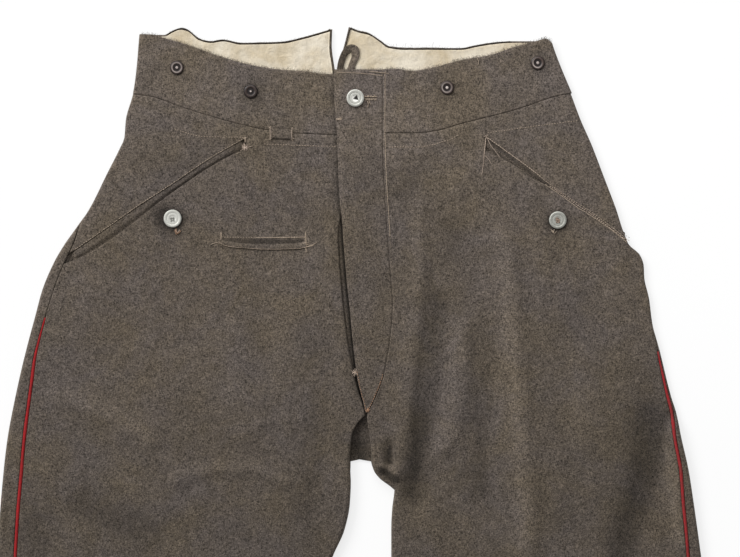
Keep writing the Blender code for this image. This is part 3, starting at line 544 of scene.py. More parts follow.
flyLeft, flyLift = smoothLine(flyRows), smoothLine(flyRows, 0, 2)
flySewn = smoothLine(frontEdgeLeft)
# Paler along the fly's free edge, and painted shadow with a darker line beside it
flyEdge = {
    "paleEdge": 0.20, "nearTop": -0.12, "nearLow": -0.16, "nearReach": 8.0,
    "line": -0.32, "lineAt": 1.2, "lineReach": 1.3,
}
piping = {
    "radius": 1.6, "thin": 0.55, "fills": 58.0, "clear": 0.12,
    "sides": 12, "pitch": 3.0,
}
watchPocket = {
    "left": -122.5, "right": -42.0, "slitDepth": 1.4, "slitHalf": 2.4, "dark": -0.58,
    "lip": [(-121.5, 205.6), (-108, 208.9), (-92, 210.1), (-76, 210.7), (-52, 210.2), (-42, 208.9)],
    "slit": [(-122.5, 201.4), (-108, 203.0), (-92, 203.8), (-60, 203.9), (-42, 203.0)],
}
watchSlit = smoothLine(watchPocket["slit"])


# Materials

# Adds a node. Each input is a value or an output to link
def addNode(tree, kind, inputs=None, **settings):
    made = tree.nodes.new(kind)
    for key, value in settings.items():
        setattr(made, key, value)
    for key, value in (inputs or {}).items():
        if isinstance(value, bpy.types.NodeSocket):
            tree.links.new(value, made.inputs[key])
        else:
            made.inputs[key].default_value = value
    return made


# A material, its tree, its shader and its object coordinates
def newMaterial(name, **sockets):
    made = bpy.data.materials.new(name)
    made.use_nodes = True
    shader = made.node_tree.nodes["Principled BSDF"]
    for key, value in sockets.items():
        shader.inputs[key.replace("_", " ")].default_value = value
    coords = addNode(made.node_tree, "ShaderNodeTexCoord").outputs["Object"]
    return made, made.node_tree, shader, coords


def stretched(tree, coords, turn, scale):
    return addNode(tree, "ShaderNodeMapping", {
        "Vector": coords, "Rotation": (0, 0, math.radians(turn)), "Scale": scale,
    }).outputs[0]


# Noise whose features are about size millimetres wide
def speckle(tree, coords, size, detail=3.0, rough=0.6, warp=0.0):
    return addNode(tree, "ShaderNodeTexNoise", {
        "Vector": coords, "Scale": 1000 / size, "Detail": detail, "Roughness": rough, "Distortion": warp,
    }).outputs["Fac"]


def remap(tree, value, low, high, toLow=0.0, toHigh=1.0):
    return addNode(tree, "ShaderNodeMapRange", {
        "Value": value, "From Min": low, "From Max": high, "To Min": toLow, "To Max": toHigh,
    }).outputs[0]


# Colours are hex texts or outputs
def mixColours(tree, factor, first, second, kind="MIX"):
    first, second = (hexColour(c) if isinstance(c, str) else c for c in (first, second))
    return addNode(tree, "ShaderNodeMix", {0: factor, 6: first, 7: second},
                   data_type="RGBA", blend_type=kind).outputs[2]


# The colour times a grey value
def shaded(tree, colour, value):
    grey = addNode(tree, "ShaderNodeCombineColor", {0: value, 1: value, 2: value}).outputs[0]
    return mixColours(tree, 1.0, colour, grey, "MULTIPLY")


# Links the colour, the normal and, if given, the roughness to the shader
def finished(made, colour, normal, rough=None):
    tree = made.node_tree
    sockets = tree.nodes["Principled BSDF"].inputs
    tree.links.new(colour, sockets["Base Color"])
    tree.links.new(normal, sockets["Normal"])
    if rough is not None:
        tree.links.new(rough, sockets["Roughness"])
    return made


def math2(tree, operation, first, second):
    return addNode(tree, "ShaderNodeMath", {0: first, 1: second}, operation=operation).outputs[0]


def bumpOf(tree, height, distance, below=None):
    inputs = {"Height": height, "Distance": distance * mm, "Strength": 1.0}
    if below is not None:
        inputs["Normal"] = below
    return addNode(tree, "ShaderNodeBump", inputs).outputs[0]


woolLook = {
    "olive": "#60564a", "grey": "#5d5550", "pale": "#a89c8e",
    "patch": 62.0, "mottle": 8.5, "felt": 2.6, "fibre": 0.95, "hair": 0.34,
    "fibreContrast": 0.84, "bumpFelt": 0.55, "bumpFibre": 0.30,
}


# A tone below 1 makes a darker copy of the same cloth: painted shade
def woolMaterial(name, look, tone=1.0):
    # Fulled wool: a milled twill whose nap hides the weave, spun from mixed grey, brown and pale
    # fibres, so that it is salt-and-pepper close up, with soft olive and grey patches.
    made, tree, shader, coords = newMaterial(
        name, Roughness=0.94, Sheen_Weight=0.22, Sheen_Roughness=0.55, Specular_IOR_Level=0.18)
    shader.inputs["Sheen Tint"].default_value = hexColour("#c9bfb2")
    patch = remap(tree, speckle(tree, coords, look["patch"], 4.0, 0.62, 0.4), 0.36, 0.64)
    colour = mixColours(tree, patch, look["olive"], look["grey"])
    mottle = remap(tree, speckle(tree, coords, look["mottle"], 4.0, 0.65), 0.3, 0.7, 0.82, 1.16)
    leftward = stretched(tree, coords, 38, (1.0, 0.42, 1.0))
    rightward = stretched(tree, coords, -44, (0.45, 1.0, 1.0))
    fibreOne = speckle(tree, leftward, look["fibre"], 3.0, 0.7, 0.8)
    fibreTwo = speckle(tree, rightward, look["fibre"], 3.0, 0.7, 0.8)
    fibres = math2(tree, "ADD", fibreOne, fibreTwo)
    contrast = look["fibreContrast"]
    grain = remap(tree, fibres, 0.78, 1.22, 1 - contrast, 1 + contrast)
    felt = speckle(tree, coords, look["felt"], 3.0, 0.6)
    feltTone = remap(tree, felt, 0.3, 0.7, 0.85, 1.15)
    value = math2(tree, "MULTIPLY", math2(tree, "MULTIPLY", mottle, grain), feltTone)
    # The shade attribute carries the painted light and shade from toneAt
    shade = addNode(tree, "ShaderNodeAttribute", attribute_name="shade").outputs["Fac"]
    value = math2(tree, "MULTIPLY", value, math2(tree, "ADD", shade, 1.0))
    colour = shaded(tree, colour, math2(tree, "MULTIPLY", value, tone))
    hairs = remap(tree, speckle(tree, leftward, look["hair"], 2.0, 0.5, 1.0), 0.60, 0.72)
    colour = mixColours(tree, math2(tree, "MULTIPLY", hairs, 0.30), colour, look["pale"])
    soft = bumpOf(tree, felt, look["bumpFelt"])
    return finished(made, colour, bumpOf(tree, fibres, look["bumpFibre"], soft))


def cottonMaterial(name):
    # Unbleached cotton drill: a fine even weave, yellowed in soft stains, with thin shadows in its folds.
    made, tree, _, coords = newMaterial(name, Roughness=0.9, Sheen_Weight=0.08, Specular_IOR_Level=0.25)
    stain = remap(tree, speckle(tree, coords, 34, 4.0, 0.6, 0.5), 0.38, 0.68)
    colour = mixColours(tree, stain, "#e3d9c6", "#cbbb9e")
    crumple = remap(tree, speckle(tree, coords, 7, 3.0, 0.55, 1.0), 0.35, 0.65, 0.93, 1.05)
    across = speckle(tree, stretched(tree, coords, 0, (1.0, 0.12, 1.0)), 0.45, 1.0)
    down = speckle(tree, stretched(tree, coords, 0, (0.12, 1.0, 1.0)), 0.45, 1.0)
    weave = math2(tree, "ADD", across, down)
    value = math2(tree, "MULTIPLY", crumple, remap(tree, weave, 0.7, 1.3, 0.90, 1.10))
    wrinkles = bumpOf(tree, speckle(tree, coords, 11, 2.0, 0.5, 1.2), 1.1)
    return finished(made, shaded(tree, colour, value), bumpOf(tree, weave, 0.12, wrinkles))


def pipingMaterial(name, bright, faded):
    # Red wool facing cloth folded round a cord: crimson, faded and fuzzy along its top.
    made, tree, shader, coords = newMaterial(
        name, Roughness=0.88, Sheen_Weight=0.2, Specular_IOR_Level=0.2)
    shader.inputs["Sheen Tint"].default_value = hexColour("#e08a78")
    worn = remap(tree, speckle(tree, coords, 9, 4.0, 0.65), 0.35, 0.7)
    colour = mixColours(tree, worn, bright, faded)
    fibre = speckle(tree, stretched(tree, coords, 12, (1.0, 0.4, 1.0)), 0.7, 3.0, 0.7)
    colour = shaded(tree, colour, remap(tree, fibre, 0.3, 0.7, 0.72, 1.25))
    return finished(made, colour, bumpOf(tree, fibre, 0.25))


# The colour, darker where the tint attribute is below 0 and paler where it is above
def tinted(tree, colour, dark, pale):
    tint = addNode(tree, "ShaderNodeAttribute", attribute_name="tint").outputs["Fac"]
    colour = mixColours(tree, remap(tree, tint, 0, -1), colour, dark)
    return mixColours(tree, remap(tree, tint, 0, 1), colour, pale)


def zincMaterial(name):
    # Stamped zinc: pale dull grey with a dry oxide bloom; its tint darkens its rings, paints its holes dark
    # with painted shade and one side of its rim paler or darker with painted light.
    made, tree, _, coords = newMaterial(name, Metallic=0.25, Roughness=0.5, Specular_IOR_Level=0.5)
    bloom = remap(tree, speckle(tree, coords, 2.4, 4.0, 0.7), 0.35, 0.65)
    colour = mixColours(tree, bloom, "#bfc0b8", "#a2a198")
    bump = bumpOf(tree, speckle(tree, coords, 0.5, 3.0, 0.6), 0.04)
    rough = remap(tree, bloom, 0, 1, 0.42, 0.6)
    return finished(made, tinted(tree, colour, "#26221f", "#f6f5ee"), bump, rough)


def hornMaterial(name):
    # Pressed horn: brown-black with faint streaks, half-gloss; its tint paints the rim pale on the lit side
    # (painted highlight), the centre paler, and the groove and outer edge dark (painted shade).
    made, tree, _, coords = newMaterial(name, Roughness=0.45, Specular_IOR_Level=0.4)
    streak = remap(tree, speckle(tree, stretched(tree, coords, 30, (1, 0.25, 1)), 2.0, 3.0), 0.35, 0.7)
    colour = mixColours(tree, streak, "#40342f", "#554741")
    rough = remap(tree, streak, 0, 1, 0.4, 0.6)
    return finished(made, tinted(tree, colour, "#1a1211", "#d8cbc4"), bumpOf(tree, streak, 0.05), rough)


def threadMaterial(name, light, dark):
    # Two-ply linen thread: its twist shows as fine light and dark steps.
    made, tree, _, coords = newMaterial(name, Roughness=0.75, Sheen_Weight=0.1, Specular_IOR_Level=0.3)
    twist = remap(tree, speckle(tree, coords, 0.8, 2.0, 0.6), 0.35, 0.65)
    return finished(made, mixColours(tree, twist, light, dark), bumpOf(tree, twist, 0.08))


def tableMaterial(name):
    # Matt white paint on a table top that glows evenly from below, so that shadows on it are faint.
    made, tree, shader, coords = newMaterial(name, Roughness=0.95, Specular_IOR_Level=0.1)
    tone = remap(tree, speckle(tree, coords, 400, 2.0, 0.5), 0.3, 0.7)
    tree.links.new(mixColours(tree, tone, "#8a8a8a", "#8e8e8e"), shader.inputs["Base Color"])
    shader.inputs["Emission Color"].default_value = (1, 1, 1, 1)
    shader.inputs["Emission Strength"].default_value = studio["tableGlow"]
    return made


studio = {
    "sunFrom": (-0.85, 0.62, 0.66), "sunAngle": 28.0, "sunPower": 2.45,
    "keyPlace": (-0.1, 2.0, 1.5), "keyAim": (0.0, 0.2, 0.0), "keySize": 1.4, "keyPower": 24.0,
    "sky": 0.27, "tableGlow": 0.745,
}
wool = woolMaterial("fulled_wool_grey", woolLook)
# The same wool made darker: painted shade
woolShaded = woolMaterial("fulled_wool_painted_shade", woolLook, 0.72)
cotton = cottonMaterial("cotton_drill_cream")
redCloth = pipingMaterial("wool_facing_red", "#a81f24", "#8c2a2a")
redWorn = pipingMaterial("wool_facing_red_worn", "#9a272c", "#7d3331")
zinc = zincMaterial("zinc_stamped")
horn = hornMaterial("horn_dark_pressed")
threadBeige = threadMaterial("linen_thread_beige", "#c2b09c", "#978674")
threadOrange = threadMaterial("linen_thread_tan", "#b58d70", "#896850")
threadTack = threadMaterial("linen_thread_dull_tan", "#b39a88", "#846f60")
threadPale = threadMaterial("linen_thread_pale", "#cbb8a8", "#9c8979")
threadWorn = threadMaterial("linen_thread_worn", "#8d8070", "#6f6457")
# A dark thread look for the buttonhole's slit: painted shade
slitShade = threadMaterial("buttonhole_slit_painted_shade", "#3a332e", "#241f1c")
print("materials made")


# Cloth pieces

cuts = {}
cutShare = 0.32


# Keeps the flat cut of a piece: its widest row, longest column and area, in metres
def remember(piece, x, down, z):
    grid = np.stack([x, down, z], axis=-1) * mm
    rows = np.linalg.norm(np.diff(grid, axis=1), axis=2).sum(axis=1)
    cols = np.linalg.norm(np.diff(grid, axis=0), axis=2).sum(axis=0)
    one = np.cross(grid[1:, 1:] - grid[:-1, :-1], grid[1:, :-1] - grid[:-1, 1:])
    area = float(np.linalg.norm(one, axis=2).sum() / 2)
    width, length = float(rows.max()), float(cols.max())
    if area < cutShare * width * length:        # a slanted cut, given by the box round it
        width, length = float(np.ptp(x)) * mm, float(np.ptp(down)) * mm
    cuts[piece.name] = (round(width, 3), round(length, 3), round(area, 4))


def clothWall(name, x, down, z, thickness, colDist, rowDist, material, rounding=1.0, extraTone=0.0):
    x, down, z = np.broadcast_arrays(x, down, z)
    tone = toneAt(x, down, name == "fly_strip_cloth") + extraTone
    piece = gridWall(name, x, down, z, thickness, colDist, rowDist, material, rounding, tone)
    remember(piece, x, down, z)
    return piece


# The outer edge, and how far inside it the side seam shows, for each down
def sideLines(leg):
    return smoothLine(leg["outline"]), smoothLine(leg["outline"], 0, 2)


def frontPiece(name, leg):
    side, mouthEnd, downs = leg["side"], leg["mouthEnd"], leg["downs"]
    edge, seamIn = sideLines(leg)
    mouthX, frontX, inseamX, seam = (
        smoothLine(leg[key]) for key in ("mouth", "frontEdge", "inseam", "waistSeam"))
    top = downs[0]
    fade = 1 - softStep(top, mouthEnd, downs)   # rows follow the waist seam less and less

    def downOf(x):
        start, share = (downs, fade) if x.ndim == 1 else (downs[:, None], fade[:, None])
        return start + (seam(x) - top + cloth["seamGap"] / 2) * share

    inner = np.where(downs < leg["inseam"][0][0], frontX(downs), inseamX(downs))
    innerCurl = softStep(cloth["flyTip"], cloth["crotch"] + 20, downs)
    mouthOuter = meetEdge(mouthX, downOf, mouthX(downs))
    sideOuter, sideCurl = sideEnd(edge(downs), seamIn(downs), side)
    if seamIn(mouthEnd) == 0:
        sideCurl = np.minimum(sideCurl, softStep(mouthEnd - 8, mouthEnd + 4, downs))
    aboveCurl = softStep(mouthEnd - 8, mouthEnd + 4, downs) if seamIn(mouthEnd) == 0 else 0 * downs
    outer = np.where(downs < mouthEnd, mouthOuter, sideOuter)
    outerCurl = np.where(downs < mouthEnd, aboveCurl, sideCurl)
    innerGap = np.full(len(downs), cloth["seamGap"] / 2)
    butted = downs < leg["mouth"][1][0] + 0.5   # where the front meets the hip piece's end
    outerGap = np.where(butted, cloth["buttGap"], sideGap(downs, leg["pipingStart"]))
    x, down, z, far = panel(outer, inner, outerCurl, innerCurl, downOf, frontGrid["columns"],
                            outerGap, innerGap, squareOuter=butted, inSteps=frontSteps)
    return clothWall(name, x, down, z, cloth["wool"], far, rowEnds(len(downs)), wool)


def backPiece(name, leg):
    side, downs = leg["side"], backDowns
    edge, seamIn = sideLines(leg)
    top = smoothLine(leg["backTop"])
    centreX, inseamX = smoothLine(leg["notch"] + centreBack), smoothLine(leg["inseam"])
    first = downs[0]
    fade = 1 - softStep(first, 60, downs)

    def downOf(x):
        start, share = (downs, fade) if x.ndim == 1 else (downs[:, None], fade[:, None])
        return start + (top(x) - first) * share

    outer = edge(downOf(edge(downs)))
    below = downs > cloth["crotch"] + 1
    inner = np.where(below, inseamX(downs), meetEdge(centreX, downOf, centreX(downs)))
    innerCurl = softStep(cloth["crotch"] + 1, cloth["crotch"] + 20, downs)
    inset, drop = curled(cloth["centreBackGap"] + edgeSteps[None, :], innerCurl[:, None])
    innerX = inner[:, None] + side * inset
    innerTop = heightAt(inner + side * foldCentre(innerCurl), downOf(inner))[:, None]
    innerZ = cloth["backMid"] + (innerTop - cloth["backMid"]) / 2 * drop
    end = outer - side * foldEdge
    share = np.linspace(0, 1, backGrid["columns"] + 1)[None, 1:-1]
    middleX = innerX[:, -1:] + (end[:, None] - innerX[:, -1:]) * share
    # From the table up round the outer fold, to the side seam on the front
    insetIn = seamIn(downs)
    quarter = cloth["quarterTurn"]
    wrap = np.where(insetIn > foldEdge, quarter + insetIn - foldEdge, quarter * insetIn / foldEdge)
    length = (quarter + wrap - sideGap(downs, leg["pipingStart"]))[:, None]
    near = np.array([1.5, 0.9, 0.5, 0.2, 0.0])[None, :]
    beforeEnd = 1.8                             # where the close columns at the end start
    along = np.concatenate([np.linspace(0, 1, 17)[None, :-1] * (length - beforeEnd), length - near], axis=1)
    angle = along / quarter * math.pi / 2
    turning = along < 2 * quarter
    wrapX = np.where(turning, outer[:, None] - side * (foldEdge - cloth["foldReach"] * np.sin(angle)),
                     end[:, None] - side * (along - 2 * quarter))
    topZ = heightAt(np.where(turning, end[:, None], wrapX), downOf(wrapX))
    half = (topZ - cloth["backMid"]) / 2
    bent = (topZ + cloth["backMid"]) / 2 - half * np.cos(np.minimum(angle, math.pi))
    wrapZ = np.where(turning, bent, topZ)
    x = np.concatenate([innerX, middleX, wrapX], axis=1)
    z = np.concatenate([innerZ, np.full_like(middleX, cloth["backMid"]), wrapZ], axis=1)
    far = np.full((1, x.shape[1]), farInside)
    far[0, :len(edgeSteps)] = edgeSteps
    far[0, -near.shape[1]:] = near[0]
    return clothWall(name, x, downOf(x), z, cloth["wool"], far, rowEnds(len(downs)), wool)


def bandPiece(name, leg):
    edge, top, seam = (smoothLine(leg[key]) for key in ("outline", "bandTop", "waistSeam"))
    near = rimSteps / 58
    shares = np.concatenate([near, np.linspace(0.06, 0.94, 22), 1 - near[::-1]])

    def downOf(x):
        share = shares if x.ndim == 1 else shares[:, None]
        return top(x) + (seam(x) - cloth["seamGap"] / 2 - top(x)) * share

    outer = edge(downOf(np.full(len(shares), edge(20))))
    whole = np.ones(len(shares))
    x, down, z, far = panel(outer, whole * leg["bandInner"], whole, whole * 0, downOf, 64,
                            whole * cloth["seamGap"] / 2, whole * cloth["seamGap"] / 2)
    return clothWall(name, x, down, z, cloth["wool"], far, rowEnds(len(shares)), wool)


def hipPiece(name, leg):
    side, hipEdge, seamLine, inner = (leg[key] for key in ("side", "hipEdge", "waistSeam", "hipInner"))
    edge, seamIn = sideLines(leg)
    seam, lower = smoothLine(seamLine), smoothLine(hipEdge)
    corner = hipEdge[0] if side < 0 else hipEdge[-1]
    topCorner = seamLine[0] if side < 0 else seamLine[-1]
    near = rimSteps / 120
    shares = np.concatenate([near, np.linspace(0.03, 0.97, 34), 1 - near[::-1]])
    half = cloth["seamGap"] / 2
    outerDown = topCorner[1] + half + (corner[1] - topCorner[1] - half) * shares
    outer, curl = sideEnd(edge(outerDown), seamIn(outerDown), side)
    topOuter = edge(topCorner[1])

    # Rows go over from the waist seam's line to the pocket edge's
    def downOf(x):
        s, o, d = shares[:, None], outer[:, None], outerDown[:, None]
        u = np.clip((x - o) / (inner - o), 0, 1)
        upper = seam(topOuter + (inner - topOuter) * u) + half
        below = lower(corner[0] + (inner - corner[0]) * u)
        chord = (1 - s) * seam(topOuter) + s * lower(corner[0])
        return (1 - s) * upper + s * below + (1 - u) * (d - chord - half * (1 - s))

    whole = np.ones(len(shares))
    x, down, z, far = panel(outer, whole * inner, curl, whole * 0, downOf, 56,
                            whole * cloth["hipSeamGap"], whole * cloth["buttGap"], squareInner=True)
    rows = np.minimum(np.arange(len(shares)), np.arange(len(shares))[::-1])
    rowDist = np.interp(rows, range(4), rimSteps)[:, None]
    lastRows = (np.arange(len(shares)) >= len(shares) - 4)[:, None]
    # Painted highlight along the lower edge by the wearer's right pocket, lightening the shadow there
    paleEdge = hipHighlight["tone"] * lastRows * softStep(*hipHighlight["from"], x) * (1 - softStep(*hipHighlight["to"], x))
    return clothWall(name, x, down, z, cloth["wool"], far, rowDist, wool, extraTone=paleEdge)


# The lip in the pocket's mouth. It swells between the hip piece and the front, and dips under the front
def weltPiece(name, leg):
    lower = smoothLine(leg["hipEdge"])
    mouthDown = smoothLine([(x, down) for down, x in leg["mouth"][1:]])
    count = 60
    xs = np.linspace(*leg["weltEnds"], count)[:, None]
    first, last = lower(xs) - 6, mouthDown(xs) + 6
    share = np.linspace(0, 1, 44)[None, :]
    down = first + (last - first) * share
    gap = mouthDown(xs) - lower(xs)
    inside = down - lower(xs)                   # from the hip piece's edge
    along = np.linspace(0, 1, count)[:, None]
    ends = softStep(0, 0.03, along) * softStep(0, 0.03, along[::-1])
    crest = softStep(-0.3, 0.6, inside) * (1 - softStep(0.45 * gap, gap - 0.3, inside))
    z = lowLayer + cloth["welt"] / 2 + welt["swell"] * crest * ends
    # Painted shade in the slit under the front's edge, a paler line along the crest, and painted shade
    # along the hip piece's edge from weltTones
    slit = np.exp(-((inside - gap + welt["slitAt"]) / welt["slitReach"]) ** 2)
    tone = welt["tone"] + welt["slit"] * slit + welt["line"] * np.exp(-((inside - 0.62 * gap) / 0.9) ** 2)
    tone = tone + np.interp(xs, *zip(*leg["weltTones"])) * np.exp(-((inside - welt["nearAt"]) / 1.5) ** 2)
    far = np.minimum(share, 1 - share) * (last - first)
    x = xs + 0 * share
    return clothWall(name, x, down, z, cloth["welt"], far, rowEnds(count), wool, extraTone=tone)


def liningPiece(name, leg):
    side, outerX = leg["side"], leg["liningOuter"]
    top, below = smoothLine(leg["backTop"]), smoothLine(leg["bandTop"])
    notchX = smoothLine(leg["notch"] + centreBack[:1])
    shares = np.concatenate([[0, 0.006, 0.02], np.linspace(0.05, 0.95, 22), [0.98, 0.994, 1]])

    def downOf(x):
        share = shares if x.ndim == 1 else shares[:, None]
        return (top(x) + lining["inset"]) * (1 - share) + (below(x) + lining["under"]) * share

    inner = meetEdge(notchX, downOf, np.full(len(shares), notchX(20))) + side * lining["notchInset"]
    share = np.linspace(0, 1, 90)[None, :]
    x = outerX + (inner[:, None] - outerX) * share
    down = downOf(x)
    # Puckers, broad and fine, which die away where the hanger loop is sewn on
    rise = lining["rise"]
    pucker = rise * np.clip(0.5 + 0.5 * softNoise(x * 0.55, down, 9.5, 21), 0, 1) ** 1.5
    pucker = pucker + 0.4 * rise * np.clip(softNoise(x, down * 0.6, 5.0, 23), 0, 1)
    byLoop = 1 - np.exp(-((x + 2) / 13) ** 2)
    z = lowLayer + cloth["lining"] / 2 + np.clip(pucker, 0, lining["most"]) * byLoop
    far = np.minimum(share, 1 - share) * np.abs(inner[:, None] - outerX)
    return clothWall(name, x, down, z, cloth["lining"], far, rowEnds(len(shares)), cotton, 0.5)


# Middle of the fly strip, whose free edge stands over the right front
def flyHeight(x, down):
    left, right = flyLeft(down), flySewn(down) - cloth["seamGap"] / 2
    return heightAt(x, down) + flyLift(down) * (1 - softStep(0.3, 1, (x - left) / (right - left)))


def flyPiece():
    downs = stations(40.7, 366.0, 3.2, lowFrom=999)
    left, right = flyLeft(downs)[:, None], (flySewn(downs) - cloth["seamGap"] / 2)[:, None]
    near = np.array([0, 0.012, 0.03, 0.06])
    share = np.concatenate([near, np.linspace(0.1, 0.9, 26), 1 - near[::-1]])[None, :]
    x = left + (right - left) * share
    down = downs[:, None] + 0 * x
    far = np.minimum(share, 1 - share) * (right - left)
    return clothWall("fly_strip_cloth", x, down, flyHeight(x, down), cloth["wool"], far,
                     rowEnds(len(downs)), wool)


def underlapPiece():
    downs = stations(64.0, 362.0, 4.0, lowFrom=999)
    right = smoothLine([(64, 18), (200, 20), (300, 18), (362, 14)])(downs)[:, None]
    edge = flyLeft(downs)[:, None]
    # Close columns only where it shows beside the fly's free edge
    first, last = edge - underlap["shows"], edge + 1.2
    x = np.concatenate([
        underlap["left"] + (first - underlap["left"]) * np.linspace(0, 1, 8)[None, :-1],
        first + (last - first) * np.linspace(0, 1, 26)[None, :],
        last + (right - last) * np.linspace(0, 1, 8)[None, 1:],
    ], axis=1)
    out, crest = edge - x, underlap["swellAt"]
    z = lowLayer + cloth["welt"] / 2 + underlap["swell"] * np.exp(-((out - crest) / 1.9) ** 2)
    far = np.minimum(x - underlap["left"], right - x)
    tone = underlap["shadow"] * np.exp(-((out - 0.8) / 1.2) ** 2)
    tone = tone + underlap["line"] * np.exp(-((out - crest) / 0.8) ** 2)
    return clothWall("fly_underlap_cloth", x, downs[:, None] + 0 * x, z, cloth["welt"], far,
                     rowEnds(len(downs)), woolShaded, extraTone=tone)


# A small piece that lies on a panel, between two lines given by their down at each x
def raisedPiece(name, xs, upper, lower, swell, edgeTones=(0, 0)):
    share = np.concatenate([[0, 0.03, 0.09], np.linspace(0.18, 0.82, 9), [0.91, 0.97, 1]])[None, :]
    x = xs[:, None] + 0 * share
    down = upper[:, None] + (lower - upper)[:, None] * share
    z = heightAt(x, down) + cloth["wool"] / 2 + cloth["layerGap"] + cloth["trim"] / 2
    z = z + swell * np.sin(share * math.pi)
    far = np.minimum(share, 1 - share) * (lower - upper)[:, None]
    # Tones along its two long edges, painted shade where they are below 0
    extra = edgeTones[0] * (1 - softStep(0.04, 0.14, share)) + edgeTones[1] * softStep(0.86, 0.96, share)
    return clothWall(name, x, down, z, cloth["trim"], far, rowEnds(len(xs)), wool, 0.6, extra)


# A closed band or cord of elliptical section along middle points (x, down, z)
def sweep(name, path, halfWidth, halfHeight, material, sides=12, tone=None):
    path = np.array(path, float)
    run = np.gradient(path, axis=0)
    run /= np.linalg.norm(run, axis=1)[:, None]
    off = np.stack([-run[:, 1], run[:, 0], np.zeros(len(run))], axis=1)
    off /= np.maximum(np.linalg.norm(off, axis=1), 1e-6)[:, None]
    up = np.cross(run, off)
    up[up[:, 2] < 0] *= -1
    halfWidth = np.broadcast_to(halfWidth, len(path))[:, None, None]
    halfHeight = np.broadcast_to(halfHeight, len(path))[:, None, None]
    angle = np.linspace(0, 2 * math.pi, sides, endpoint=False)[None, :, None]
    rings = path[:, None] + off[:, None] * np.cos(angle) * halfWidth
    rings = rings + up[:, None] * np.sin(angle) * halfHeight
    points = toWorld(*rings.reshape(-1, 3).T)
    faces = []
    for ring in range(len(path) - 1):
        for k in range(sides):
            a, b = ring * sides + k, ring * sides + (k + 1) % sides
            faces.append([a, b, b + sides, a + sides])
    faces.append(list(range(sides - 1, -1, -1)))
    faces.append(list(range(len(points) - sides, len(points))))
    piece = faceOutward(meshPiece(name, points, faces, material))
    if tone is not None:
        setLayer(piece, "shade", np.repeat(tone, sides))
    return piece


# Even points about pitch apart on a polyline of (x, down) or (x, down, z)
def spread(points, pitch):
    points = np.array(points, float)
    far = np.concatenate([[0], np.cumsum(np.linalg.norm(np.diff(points, axis=0), axis=1))])
    at = np.linspace(0, far[-1], max(2, int(round(far[-1] / pitch)) + 1))
    return np.stack([np.interp(at, far, points[:, k]) for k in range(points.shape[1])], axis=1)


# Even points on a Catmull-Rom line through given points
def smoothPath(points, pitch):
    p = np.array(points, float)
    p = np.concatenate([[2 * p[0] - p[1]], p, [2 * p[-1] - p[-2]]])
    out = []
    for k in range(1, len(p) - 2):
        for t in np.linspace(0, 1, 12, endpoint=False):
            out.append(0.5 * (2 * p[k] + (p[k + 1] - p[k - 1]) * t
                              + (2 * p[k - 1] - 5 * p[k] + 4 * p[k + 1] - p[k + 2]) * t * t
                              + (3 * p[k] - p[k - 1] - 3 * p[k + 1] + p[k + 2]) * t ** 3))
    out.append(p[-2])
    return spread(out, pitch)


frontGrid = {"columns": 92, "pitch": 3.2}
backGrid = {"columns": 34, "pitch": 5.0}
# Painted highlight on the hip piece's lower edge: its tone, where it starts and ends
hipHighlight = {"tone": 0.5, "from": (-225, -205), "to": (-125, -112)}
welt = {
    "swell": 1.85, "tone": -0.04, "slit": -0.06, "slitAt": 1.4, "slitReach": 1.5, "line": 0.08,
    "nearAt": 2.2,
}
lining = {"inset": 1.9, "notchInset": 2.1, "rise": 0.75, "most": 0.8, "under": 14}
underlap = {"left": -30.0, "shows": 7.0, "swell": 0.9, "swellAt": 3.1, "shadow": -0.22, "line": 0.06}

# Close rows over the watch pocket's mouth and over the tuck at the crotch
grooves = [196 + 0.8 * k for k in range(20)]
tuckRows = [404 + 1.2 * k for k in range(36)]
rightDowns = stations(103.0, cloth["length"], frontGrid["pitch"], [117, 121, 224.8, 369, 372.5, *grooves])
leftDowns = stations(101.0, cloth["length"], frontGrid["pitch"], [117.5, 123, 206.6, 366, 372.5, *tuckRows])
backDowns = stations(7.0, cloth["length"], backGrid["pitch"],
                     [46, 62, 88, 190, 206.6, 410.6, 412.5, 416, 420, 424, 428, 434, 439])

# What differs between the halves. A piece ends inside at its Inner, outside at its Outer, where a
# neighbour covers or meets it
legs = {
    "right": {
        "side": -1, "outline": outlineRight, "notch": notchRight, "inseam": inseamRight,
        "backTop": backTopRight, "bandTop": bandTopRight, "waistSeam": waistSeamRight,
        "frontEdge": frontEdgeRight, "hipEdge": hipEdgeRight, "mouth": mouthRight, "mouthEnd": 224.5,
        "downs": rightDowns, "bandInner": -7.0, "hipInner": -98.5, "liningOuter": -180.0,
        "weltEnds": (-264.0, -99.4), "weltTones": [(-264, -0.1), (-200, -0.1), (-108, -0.14)],
        "pipingStart": 276.0, "wobble": 0.08, "red": redCloth,
    },
    "left": {
        "side": 1, "outline": outlineLeft, "notch": notchLeft, "inseam": inseamLeft,
        "backTop": backTopLeft, "bandTop": bandTopLeft, "waistSeam": waistSeamLeft,
        "frontEdge": frontEdgeLeft, "hipEdge": hipEdgeLeft, "mouth": mouthLeft, "mouthEnd": 206.6,
        "downs": leftDowns, "bandInner": 30.8, "hipInner": 128.4, "liningOuter": 168.0,
        "weltEnds": (128.8, 261.0),
        "weltTones": [(128, -0.1), (140, -0.55), (200, -0.5), (222, 0.05), (261, 0.1)],
        "pipingStart": 308.0, "wobble": 0.22, "red": redWorn,
    },
}
pieces = {}


# One piece of a kind for each half, the wearer's right first
def makeBoth(kind, stem, build):
    for name, leg in legs.items():
        pieces[kind + name.title()] = build(stem.format(name), leg)


